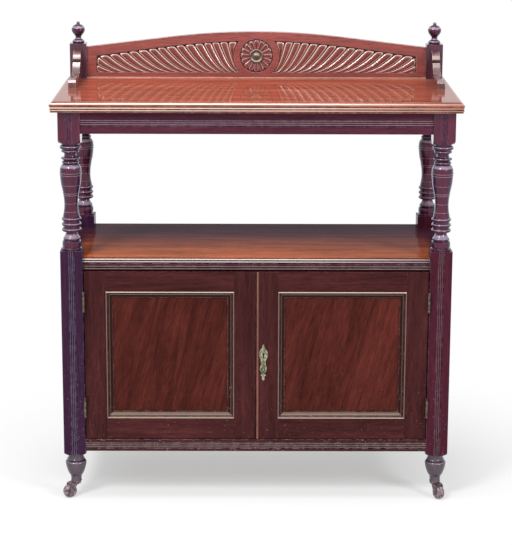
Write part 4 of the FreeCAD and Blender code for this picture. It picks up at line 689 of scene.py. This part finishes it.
class Finishes:
    """All finishes, made once and shared by the pieces.

    If not said otherwise a finish has ribbons 34 mm wide and 420 mm long, drawn pores of 2.4 mm by
    30 mm, patches of thin polish of 17 mm and smears of 110 mm. Brass has patches of 7 mm.
    """

    def __init__(self) -> None:
        """Make every material of the piece."""
        x, y, z = Grain.ALONG_X, Grain.ALONG_Y, Grain.ALONG_Z
        low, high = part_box("door_right_moulding")
        left, right = low[0], high[0]
        # Boards: reddish polish with painted light on top, and painted highlight and painted shade lines
        # along their mouldings.
        self.top = self.wood("top_mahogany", x, "#8a4a3a", figure=0.34, roughness=0.1, specular=0.0,
                             gloss=0.75, worn="#f4dccc", wear=0.6, faded="#a2503a",
                             lines=((1082.4, 1085.4, 0.8), (1075.4, 1077.4, -0.8), (1072.0, 1074.6, 0.7),
                                    (1068.8, 1071.2, -0.75), (1065.8, 1068.2, 0.5),
                                    (1062.4, 1064.6, -0.7)))
        self.shelf = self.wood("shelf_mahogany", x, "#4c2a3a", figure=0.3, roughness=0.3, specular=0.0,
                               gloss=0.14, worn="#f0dcd2", wear=0.7, faded="#d0703f", faded_back=0.0,
                               lines=((667.6, 668.6, -0.6), (664.2, 667.0, 0.66), (661.8, 663.8, -0.8),
                                      (658.6, 661.2, 0.5), (655.2, 658.2, -0.85),
                                      (649.0, 650.6, -0.5)))
        # Carving: painted shade in the grooves, painted highlights on the crests.
        self.gallery = self.wood("gallery_mahogany", x, "#8a4540", figure=0.18, roughness=0.2, gloss=0.2,
                                 worn="#e8c4ba", wear=0.8)
        self.carving = self.wood("carved_mahogany", x, "#743230", figure=0.12, roughness=0.16, gloss=0.6,
                                 carved=True, worn="#f0d8c6", wear=0.5, hollow="#2a1210")
        self.rosette = self.wood("rosette_mahogany", x, "#702e30", figure=0.12, roughness=0.2, gloss=0.4,
                                 carved=True, worn="#c0a096", wear=0.4, hollow="#4a2222")
        # Pale finish of the gallery's foot bead: a painted highlight line.
        self.foot_bead = self.wood("rubbed_bead_mahogany", x, "#b0806c", figure=0.2, roughness=0.25,
                                   worn="#f0dcc8", wear=0.8)
        # Greyish boss with pale shoulders: painted highlight.
        self.boss = self.wood("waxed_mahogany_boss", x, "#58463e", figure=0.2, roughness=0.3, gloss=0.3,
                              worn="#c0bca8", wear=0.9, moulded=0.5, hollow="#3a2c26")
        # Frieze with three reeds.
        self.frieze = self.wood("frieze_mahogany", x, "#4c2434", specular=0.08, worn="#a89aa4", wear=0.5,
                                moulded=0.45)
        self.frieze_side = self.wood("frieze_side_mahogany", y, "#4c2434", specular=0.08, worn="#a8848c")
        # Turnings: a full gloss, bluish in the light, with painted shade at their sides and painted
        # highlights on their shoulders.
        self.turned = self.wood("turned_mahogany", z, "#511a2e", figure=0.25, roughness=0.16, specular=0.3,
                                gloss=1.0, worn="#e4d8f0", wear=0.25, moulded=0.32, sheen="#ccb4e0",
                                aslant="#1a1034", shoulder=(0.26, 0.42), film=1.32)
        # Greyish feet: the body paints in their sheen.
        self.foot = self.wood("scuffed_foot_mahogany", z, "#57424f", figure=0.2, roughness=0.3, specular=0.3,
                              gloss=0.6, worn="#c8c0d0", wear=0.5, moulded=0.2, aslant="#2c2234",
                              shoulder=(0.26, 0.42))
        # Pale column beads: painted highlight lines.
        self.ring = self.wood("turned_bead_mahogany", z, "#94808c", roughness=0.12, specular=0.3, gloss=0.4)
        # Posts, sides and brackets; the left and right posts are a shaded and a lit copy of one finish.
        self.post_left = self.wood("shaded_post_mahogany", z, "#371c36", figure=0.2, specular=0.08,
                                   worn="#9c98b0", wear=0.6, moulded=0.27, reeds=Reeds.UPRIGHT)
        self.post_right = self.wood("warm_post_mahogany", z, "#451827", figure=0.2, specular=0.08,
                                    worn="#a0909c", wear=0.6, moulded=0.22, reeds=Reeds.UPRIGHT)
        self.side = self.wood("side_mahogany", z, "#40202a", figure=0.25, specular=0.1)
        self.gallery_post = self.wood("gallery_post_mahogany", z, "#4a2032", roughness=0.3, specular=0.3,
                                      gloss=0.8, worn="#c0a8b0", wear=0.7, sheen="#d4c2dc",
                                      aslant="#38203c")
        self.bracket = self.wood("bracket_mahogany", z, "#5c3032", roughness=0.24, specular=1.0, gloss=0.6,
                                 worn="#f0dcd0", wear=0.9, moulded=0.35)
        # Cupboard front: the panels have slanting ribbons 46 mm wide.
        self.rail = self.wood("rail_mahogany", x, "#3c1e22", specular=0.08, worn="#d0b8b4", wear=0.6,
                              moulded=0.24)
        self.door = self.wood("door_mahogany", z, "#431f20", figure=0.38, specular=0.05, worn="#a08478",
                              rails=(left, right))
        self.moulding = self.wood("moulding_mahogany", z, "#401d1c", specular=0.05, roughness=0.18, gloss=0.1,
                                  worn="#e8d0bc", wear=0.4, moulded=0.2, rim=(left, right, low[2], high[2]),
                                  lines=((0.4, 3.0, 0.6), (3.2, 4.4, -0.7), (8.2, 10.2, 0.24),
                                         (11.4, 15.4, -0.85)))
        self.bead = self.wood("bead_mahogany", z, "#74493f", worn="#c09484", wear=0.6)
        self.panel = self.wood("figured_mahogany", z, "#4f211b", figure=0.38, roughness=0.25, specular=0.05,
                               flame=0.9, ribbon_mm=46.0, run_mm=420.0, lean=-0.26, knocks=0.1)
        self.plain = self.wood("stained_carcass_wood", x, "#523823", roughness=0.6, specular=0.2)
        # Fittings.
        self.casting = CastBrass("worn_cast_brass", "#96848a", "#43323c", "#6a6468", green=0.15).material()
        self.dark_brass = CastBrass("dark_brass", "#847468", "#3c322c", "#605c50", green=0.1).material()
        self.plain_brass = CastBrass("plain_brass", "#c8a260", "#8a6c3c", "#7c7c58", green=0.1).material()
        self.plate_brass = CastBrass("dulled_plate_brass", "#c4c0a4", "#4e4c38", "#8a8e72", roughness=0.45,
                                     green=0.5).material()
        self.drop_brass = CastBrass("greened_drop_brass", "#8a9074", "#3a4032", "#64745a", roughness=0.45,
                                    green=0.7).material()
        self.pottery = GlazedPottery("brown_glazed_pottery", "#4c343c", "#9c8890").material()

    @staticmethod
    def wood(name: str, grain: Grain, body: str, **traits: object) -> bpy.types.Material:
        """Make one polished mahogany finish.

        Args:
            name: Name of the finish.
            grain: Way the fibres run.
            body: Colour of the stained wood.
            traits: Further fields of PolishedMahogany.

        Returns:
            The material.
        """
        return PolishedMahogany(name, grain, body, **traits).material()


def select_none() -> None:
    """Deselect every object."""
    bpy.ops.object.select_all(action="DESELECT")


def edit_all() -> None:
    """Edit the active object, with all of its mesh selected."""
    bpy.ops.object.mode_set(mode="EDIT")
    bpy.ops.mesh.select_all(action="SELECT")


def edit_done() -> None:
    """Leave edit mode."""
    bpy.ops.object.mode_set(mode="OBJECT")


def fix_transform() -> None:
    """Put the active object's place, turn and size into its mesh."""
    bpy.ops.object.transform_apply(location=True, rotation=True, scale=True)


def finished(obj: bpy.types.Object, name: str, body: str, finish: bpy.types.Material,
             angle: float = PLAIN_ANGLE) -> bpy.types.Object:
    """Name a piece, put its place into its mesh, smooth it, and dress and hang it.

    Args:
        obj: The modelled object.
        name: Name of the piece.
        body: Body that it rides on.
        finish: Its material.
        angle: Edges sharper than this many degrees stay sharp.

    Returns:
        The same object.
    """
    select_none()
    obj.select_set(True)
    bpy.context.view_layer.objects.active = obj
    fix_transform()
    bpy.ops.object.shade_smooth_by_angle(angle=math.radians(angle))
    obj.name = name
    obj.data.name = name
    obj.data.materials.clear()
    obj.data.materials.append(finish)
    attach(obj, body)
    LOG.info("%s: %d faces", name, len(obj.data.polygons))
    return obj


def joined(objects: list[bpy.types.Object]) -> bpy.types.Object:
    """Join objects into the first of them, and return that one."""
    select_none()
    for obj in objects:
        obj.select_set(True)
    bpy.context.view_layer.objects.active = objects[0]
    bpy.ops.object.join()
    return objects[0]


def select_faces(obj: bpy.types.Object, wanted: Callable[[bmesh.types.BMFace], bool]) -> None:
    """Select, in edit mode, just the faces that answer a test.

    Args:
        obj: The object in edit mode.
        wanted: Says whether a face is selected.
    """
    bpy.ops.mesh.select_mode(type="FACE")
    bpy.ops.mesh.select_all(action="DESELECT")
    mesh = bmesh.from_edit_mesh(obj.data)
    for face in mesh.faces:
        face.select_set(bool(wanted(face)))
    bmesh.update_edit_mesh(obj.data)


def bevelled_block(centre: Place | Vector, size: Place, wanted: Callable[[bmesh.types.BMEdge], bool],
                   offset: float, segments: int) -> bpy.types.Object:
    """Make a block and round over the edges that answer a test.

    Args:
        centre: Middle of the block, in metres.
        size: Its width, depth and height, in metres.
        wanted: Says whether an edge is rounded over.
        offset: Width of the bevel, in metres.
        segments: Faces across the bevel.

    Returns:
        The block.
    """
    select_none()
    bpy.ops.mesh.primitive_cube_add(size=1.0, location=centre, scale=size)
    block = bpy.context.active_object
    fix_transform()
    bpy.ops.object.mode_set(mode="EDIT")
    bpy.ops.mesh.select_mode(type="EDGE")
    bpy.ops.mesh.select_all(action="DESELECT")
    mesh = bmesh.from_edit_mesh(block.data)
    for edge in mesh.edges:
        edge.select_set(wanted(edge))
    bmesh.update_edit_mesh(block.data)
    bpy.ops.mesh.bevel(offset=offset, segments=segments)
    edit_done()
    return block


@dataclass
class CarvedGallery:
    """Sunburst of gadroons, which are raised lobes, either side of a rosette in the sunk field.

    Sizes are in millimetres, and a level is a distance from the middle plane of the piece. The field
    lies at the level ground. Its upper edge is an arc of half width arc_half that drops by arc_drop,
    and falls straight from there to the height end_top. Each groove is told by where it starts at the
    foot and how far it spreads, with its height to the power sweep. Powers of sections and of round
    ends square them: 2 gives a quarter circle. A boss step is told by its width and its rise. Ends of
    lobes are shares of their width, and ends of petals (start and length) shares of their length.
    """

    finishes: Finishes
    face: float = 217.0
    ground: float = 223.7
    rise: float = 5.6
    rise_share: float = 0.42
    section: float = 2.4
    foot: float = 1105.4
    apex: float = 1193.3
    arc_half: float = 260.0
    arc_drop: float = 17.0
    end_top: float = 1150.6
    end: float = 447.6
    middle: float = 1151.5
    inner_edge: float = 50.0
    inner_radius: float = 64.4
    sweep: float = 0.55
    grooves: tuple[Span, ...] = (
        (45.6, 3.0), (50.4, 4.7), (66.4, 5.25), (78.7, 6.3), (93.6, 7.35), (111.3, 8.4), (133.0, 8.9),
        (153.9, 9.95), (179.7, 9.95), (206.3, 10.2), (231.7, 11.0), (264.4, 10.5), (293.0, 10.8),
        (324.4, 10.8), (356.2, 10.8), (389.1, 10.8), (422.0, 10.8), (454.9, 10.8))
    rounds: int = 12
    across: int = 14
    along: int = 44
    end_length: float = 0.42
    squareness: float = 3.6
    rosette_ground: float = 220.4
    rosette_radius: float = 46.6
    petals: int = 16
    petal_across: int = 10
    petal_along: int = 14
    petal_rise: float = 3.6
    petal_section: float = 2.2
    petal_slope: float = 0.3
    petal_end: Span = (0.66, 0.28)
    petal_tuck: float = 1.0
    boss_radius: float = 19.4
    boss_ground: float = 214.0
    boss_depth: float = 6.0
    boss_proud: float = 1.2
    boss_front: float = -0.9
    boss_sides: int = 64
    boss_steps: tuple[Span, ...] = ((0.9, 1.2), (1.4, 0.4), (1.4, -0.4), (1.2, -1.1), (1.8, -0.5),
                                    (3.6, 0.0), (1.4, 0.6), (1.2, 1.2), (2.2, 0.9), (2.0, 0.3))
    bead_size: Span = (3.2, 3.0)
    bead_play: float = 0.6
    bead_round: float = 2.4
    bead_segments: int = 6
    weld: float = 0.01

    def top(self, x: float) -> float:
        """Height of the field's upper edge at a distance from the middle."""
        if abs(x) <= self.arc_half:
            radius = (self.arc_half ** 2 + self.arc_drop ** 2) / (2 * self.arc_drop)
            return self.apex - radius + math.sqrt(radius ** 2 - x ** 2)
        shoulder = self.apex - self.arc_drop
        share = (abs(x) - self.arc_half) / (self.end - self.arc_half)
        return shoulder + (self.end_top - shoulder) * share

    def groove(self, number: int, share: float) -> tuple[float, float]:
        """Point on the groove between two lobes.

        Args:
            number: Which groove, from the rosette outwards; nought is the field's round inner edge.
            share: Nought at its foot to one at its upper end.

        Returns:
            Distance from the middle and height, in millimetres.
        """
        if number == 0:
            z = self.foot + (self.top(self.inner_edge) - self.foot) * share
            return math.sqrt(self.inner_radius ** 2 - (z - self.middle) ** 2), z
        start, spread = self.grooves[number - 1]
        if start >= self.end:
            return self.end, self.foot
        height = self.top(start) - self.foot
        for _ in range(self.rounds):
            height = self.top(min(self.end, start + spread * height ** self.sweep)) - self.foot
        height = min(height, ((self.end - start) / spread) ** (1 / self.sweep)) * share
        return start + spread * height ** self.sweep, self.foot + height

    def lobe(self, number: int) -> bpy.types.Object:
        """Carve one lobe: a strip between two grooves, rounded over, with a round upper end.

        Args:
            number: The groove on its inner side.

        Returns:
            The lobe, with the distance from its crown to its groove marked.
        """
        bpy.ops.mesh.primitive_grid_add(x_subdivisions=self.across, y_subdivisions=self.along, size=1.0)
        obj = bpy.context.active_object
        edge = obj.data.attributes.new("edge", "FLOAT", "POINT")
        low, high = self.groove(number, 1.0), self.groove(number + 1, 1.0)
        round_end = self.end_length * math.hypot(high[0] - low[0], high[1] - low[1])
        round_from = 1 - round_end / (low[1] - self.foot)
        for vertex in obj.data.vertices:
            side = math.sin(math.pi * vertex.co.x)
            share = 0.5 + 0.5 * math.sin(math.pi * vertex.co.y)
            inner, outer = self.groove(number, share), self.groove(number + 1, share)
            x, z = (inner[n] + (outer[n] - inner[n]) * (side + 1) / 2 for n in (0, 1))
            end = max(0.0, (share - round_from) / (1 - round_from))
            out = min(1.0, (abs(side) ** self.squareness + end ** self.squareness) ** (1 / self.squareness))
            rise = min(self.rise, self.rise_share * math.hypot(outer[0] - inner[0], outer[1] - inner[1]))
            height = rise * (1 - out ** self.section) ** 0.5
            vertex.co = Vector((x, self.ground - height, z)) * MM
            edge.data[vertex.index].value = out
        return obj

    def half(self) -> bpy.types.Object:
        """Carve all the lobes to the right of the rosette."""
        select_none()
        return joined([self.lobe(number) for number in range(len(self.grooves))])

    def rosette(self) -> bpy.types.Object:
        """Carve one petal and turn copies of it round the middle."""
        select_none()
        bpy.ops.mesh.primitive_grid_add(x_subdivisions=self.petal_across, y_subdivisions=self.petal_along,
                                        size=1.0)
        petal = bpy.context.active_object
        edge = petal.data.attributes.new("edge", "FLOAT", "POINT")
        half = math.pi / self.petals
        root = self.boss_radius - self.petal_tuck
        start, length = self.petal_end
        for vertex in petal.data.vertices:
            side, share = math.sin(math.pi * vertex.co.x), vertex.co.y + 0.5
            radius = root + (self.rosette_radius - root) * share
            out = min(1.0, math.hypot(side, max(0.0, (share - start) / length)))
            height = self.petal_rise * (1 - out ** self.petal_section) ** 0.5
            height *= min(1.0, self.petal_slope + share)
            angle = half * side
            vertex.co = Vector((radius * math.sin(angle), self.rosette_ground - height,
                                self.middle + radius * math.cos(angle))) * MM
            edge.data[vertex.index].value = out
        edit_all()
        bpy.ops.mesh.spin(steps=self.petals, dupli=True, angle=2 * math.pi,
                          center=Vector((0, self.rosette_ground, self.middle)) * MM, axis=(0, 1, 0))
        bpy.ops.mesh.select_all(action="SELECT")
        bpy.ops.mesh.remove_doubles(threshold=self.weld * MM)
        edit_done()
        return petal

    def boss(self) -> bpy.types.Object:
        """Turn the boss on the face of a disc: a rounded rim, a dish and a button."""
        select_none()
        level = self.boss_ground - self.boss_proud + self.boss_depth / 2
        bpy.ops.mesh.primitive_cylinder_add(
            vertices=self.boss_sides, radius=self.boss_radius * MM, depth=self.boss_depth * MM,
            rotation=(math.pi / 2, 0, 0), location=Vector((0, level, self.middle)) * MM)
        disc = bpy.context.active_object
        fix_transform()
        bpy.ops.object.mode_set(mode="EDIT")
        select_faces(disc, lambda face: face.normal.y < self.boss_front)
        for inset, lift in self.boss_steps:
            bpy.ops.mesh.inset(thickness=inset * MM, depth=lift * MM)
        edit_done()
        return disc

    def foot_bead(self) -> bpy.types.Object:
        """Round a strip over into the bead along the foot of the gallery; its pale finish paints a highlight
        line there.
        """
        board = Vector(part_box("top_board")[1]).z
        low, high = (Vector(corner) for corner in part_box("gallery_panel"))
        deep, tall = (size * MM for size in self.bead_size)
        centre = Vector((0, self.face * MM - deep / 2, board + tall / 2))
        return bevelled_block(
            centre, (high.x - low.x - self.bead_play * MM, deep, tall),
            lambda edge: all(end.co.y < centre.y and end.co.z > centre.z for end in edge.verts),
            self.bead_round * MM, self.bead_segments)

    def build(self) -> None:
        """Model and hang all the carving."""
        carving, slot = self.finishes.carving, "polished_mahogany"
        for name in ("right", "left"):
            lobes = self.half()
            if name == "left":
                edit_all()
                bpy.ops.transform.resize(value=(-1, 1, 1), center_override=(0, 0, 0))
                bpy.ops.mesh.flip_normals()
                edit_done()
            finished(lobes, f"gallery_lobes_{name}", "carcass", carving, CARVED_ANGLE)
        finished(self.rosette(), "gallery_rosette", "carcass", self.finishes.rosette, CARVED_ANGLE)
        finished(self.boss(), "gallery_boss", "carcass", self.finishes.boss)
        finished(self.foot_bead(), "gallery_foot_bead", "carcass", self.finishes.foot_bead)


@dataclass
class TurnedFinials:
    """Finials on the gallery's posts: a bell foot, a waist, a full bulb and a button.

    The profile has the radius and height of each corner from the foot up, and the height is that of
    the solid's top over the foot, all in millimetres.
    """

    finishes: Finishes
    profile: tuple[Span, ...] = (
        (14.5, 0.0), (16.5, 1.5), (17.2, 4.0), (16.4, 7.0), (13.5, 9.5), (10.2, 11.5), (8.3, 14.5),
        (8.0, 17.5), (9.4, 20.5), (12.4, 24.0), (15.6, 28.0), (17.9, 32.5), (18.8, 37.0), (18.4, 41.0),
        (16.4, 45.5), (13.0, 49.0), (8.5, 51.4), (4.8, 52.6), (4.3, 53.6), (5.0, 55.0), (5.2, 56.6),
        (4.2, 58.4), (2.0, 59.7), (0.0, 60.0))
    height: float = 60.02
    tip: float = 0.01
    sides: int = 48

    def finial(self, node: str) -> bpy.types.Object:
        """Turn a finial where its solid stands.

        Args:
            node: Name of the solid that it stands for.

        Returns:
            The finial.
        """
        low, high = (Vector(corner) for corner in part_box(node))
        axis = (low + high) / 2
        foot = high.z - self.height * MM
        select_none()
        bpy.ops.mesh.primitive_circle_add(vertices=self.sides, radius=self.profile[0][0] * MM,
                                          fill_type="NGON", location=(axis.x, axis.y, foot))
        turned = bpy.context.active_object
        edit_all()
        for (radius, level), (wider, above) in zip(self.profile, self.profile[1:]):
            bpy.ops.mesh.extrude_region_move(TRANSFORM_OT_translate={"value": (0, 0, (above - level) * MM)})
            share = max(wider, self.tip) / radius
            bpy.ops.transform.resize(value=(share, share, 1),
                                     center_override=(axis.x, axis.y, foot + above * MM))
        bpy.ops.mesh.merge(type="CENTER")
        bpy.ops.mesh.select_all(action="SELECT")
        bpy.ops.mesh.normals_make_consistent(inside=False)
        edit_done()
        return turned

    def build(self) -> None:
        """Model both finials and let them stand for their solids."""
        for side in ("left", "right"):
            node = f"finial_{side}"
            piece = finished(self.finial(node), f"turned_{node}", "carcass", self.finishes.turned,
                             TURNED_ANGLE)
            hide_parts(node)


@dataclass
class ColumnBeads:
    """Fine beads that the turner left round the vase of each column; their pale finish paints highlight lines
    on it.

    Rows have their name, the depth of their axes and the height of their foot; beads have their
    height on a front column, which is marked out over a length, and their thickness; all in
    millimetres. A point outside of the column is where the ray starts that reads its radius.
    """

    finishes: Finishes
    axis_x: float = 487.0
    rows: tuple[tuple[str, float, float], ...] = (("front", -190.0, 690.0), ("back", 202.0, 702.0))
    top: float = 974.0
    marked: float = 284.0
    beads: tuple[Span, ...] = ((895.5, 0.9), (889.5, 0.9), (863.0, 0.6), (841.5, 0.8), (836.5, 0.8),
                               (814.0, 0.6), (792.0, 0.6))
    outside: float = 60.0
    sides: int = 48
    section_sides: int = 8
    flatness: float = 0.8

    def radius(self, node: bpy.types.Object, centre: Vector) -> float:
        """Radius of the turned column at a height, read off its solid.

        Args:
            node: The column's solid.
            centre: Point on its axis, in millimetres.

        Returns:
            The radius in metres.
        """
        start = (centre + Vector((self.outside, 0, 0))) * MM
        _, where, _, _ = node.ray_cast(start, Vector((-1, 0, 0)))
        return where.x - centre.x * MM

    def bead(self, node: bpy.types.Object, centre: Vector, thick: float) -> bpy.types.Object:
        """Turn one bead.

        Args:
            node: The column's solid.
            centre: Middle of the bead, in millimetres.
            thick: Thickness of the bead, in millimetres.

        Returns:
            The bead.
        """
        select_none()
        bpy.ops.mesh.primitive_torus_add(location=centre * MM, major_segments=self.sides,
                                         minor_segments=self.section_sides, minor_radius=thick * MM,
                                         major_radius=self.radius(node, centre))
        ring = bpy.context.active_object
        bpy.ops.object.mode_set(mode="EDIT")
        bpy.ops.transform.resize(value=(1, 1, self.flatness), center_override=centre * MM)
        edit_done()
        return ring

    def build(self) -> None:
        """Model and hang the beads of the four columns."""
        for row, y, foot in self.rows:
            for side, sign in (("left", -1), ("right", 1)):
                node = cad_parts[f"column_{row}_{side}"]
                spread = (self.top - foot) / self.marked
                rings = []
                for height, thick in self.beads:
                    z = self.top - (self.top - height) * spread
                    rings.append(self.bead(node, Vector((sign * self.axis_x, y, z)), thick))
                finished(joined(rings), f"column_beads_{row}_{side}", "carcass", self.finishes.ring,
                         CARVED_ANGLE)


@dataclass
class BackTongues:
    """Loose tongues in the joints of the back boards, which keep the light and the dust out.

    The joint's width, and a tongue's depth, its play at the sides and ends, and its chamfers are in
    millimetres.
    """

    finishes: Finishes
    boards: int = 6
    joint: float = 1.0
    thick: float = 4.0
    play: float = 0.01
    end_play: float = 1.0
    chamfer: float = 0.3
    chamfer_segments: int = 2

    def tongue(self, x: float) -> bpy.types.Object:
        """Plane one tongue for the joint at a distance from the middle, its long arrises taken off.

        Args:
            x: Middle of the joint, in metres.

        Returns:
            The tongue.
        """
        low, high = (Vector(corner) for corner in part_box("back_boards"))
        size = ((self.joint - 2 * self.play) * MM, self.thick * MM, high.z - low.z - 2 * self.end_play * MM)
        return bevelled_block(
            (x, (low.y + high.y) / 2, (low.z + high.z) / 2), size,
            lambda edge: abs(edge.verts[0].co.z - edge.verts[1].co.z) > size[2] / 2,
            self.chamfer * MM, self.chamfer_segments)

    def build(self) -> None:
        """Model and hang the tongues of all the joints."""
        low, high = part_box("back_boards")
        pitch = (high[0] - low[0]) / self.boards
        strips = [self.tongue(low[0] + pitch * number - self.joint / 2 * MM)
                  for number in range(1, self.boards)]
        finished(joined(strips), "back_board_tongues", "carcass", self.finishes.plain)


def finish_of(name: str, finishes: Finishes) -> bpy.types.Material:
    """Finish of a solid by its name.

    Args:
        name: The solid's name.
        finishes: The shared materials.

    Returns:
        Its material.
    """
    post = finishes.post_left if name.endswith("left") else finishes.post_right
    starts = {
        ("top_board",): finishes.top,
        ("shelf_board",): finishes.shelf,
        ("gallery_panel",): finishes.gallery,
        ("gallery_post",): finishes.gallery_post,
        ("scroll_bracket",): finishes.bracket,
        ("column", "finial"): finishes.turned,
        ("foot",): finishes.foot,
        ("post",): post,
        ("side_panel",): finishes.side,
        ("frieze_rail_front", "frieze_rail_back"): finishes.frieze,
        ("frieze_rail_left", "frieze_rail_right"): finishes.frieze_side,
        ("cupboard_top_rail", "bottom_rail"): finishes.rail,
        ("back_boards", "bottom_board", "inner_shelf", "shelf_bearers"): finishes.plain,
        ("door_left_frame", "door_right_frame"): finishes.door,
        ("door_left_panel", "door_right_panel"): finishes.panel,
        ("door_left_moulding", "door_right_moulding"): finishes.moulding,
        ("meeting_bead",): finishes.bead,
        ("fixed_hinges", "door_left_hinges", "door_right_hinges"): finishes.dark_brass,
        ("escutcheon",): finishes.plate_brass,
        ("drop_handle",): finishes.drop_brass,
        ("lock_case", "lock_bolt", "top_bolt", "bottom_bolt", "bolt_guides"): finishes.plain_brass,
        ("caster_sockets", "caster_horn"): finishes.casting,
        ("caster_wheel",): finishes.pottery,
    }
    return next(finish for names, finish in starts.items() if name.startswith(names))


def dress(finishes: Finishes) -> None:
    """Give each solid its finish.

    Args:
        finishes: The shared materials.
    """
    for name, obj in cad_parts.items():
        obj.data.materials.clear()
        obj.data.materials.append(finish_of(name, finishes))


def main() -> None:
    """Build and dress the whole piece."""
    logging.basicConfig(level=logging.INFO)
    bpy.context.scene.view_settings.view_transform = "Standard"
    Studio().build()
    finishes = Finishes()
    dress(finishes)
    for assembly in (CarvedGallery(finishes), TurnedFinials(finishes), ColumnBeads(finishes),
                     BackTongues(finishes)):
        assembly.build()
    LOG.info("dressed %d solids", len(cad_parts))


if __name__ == "__main__":
    main()
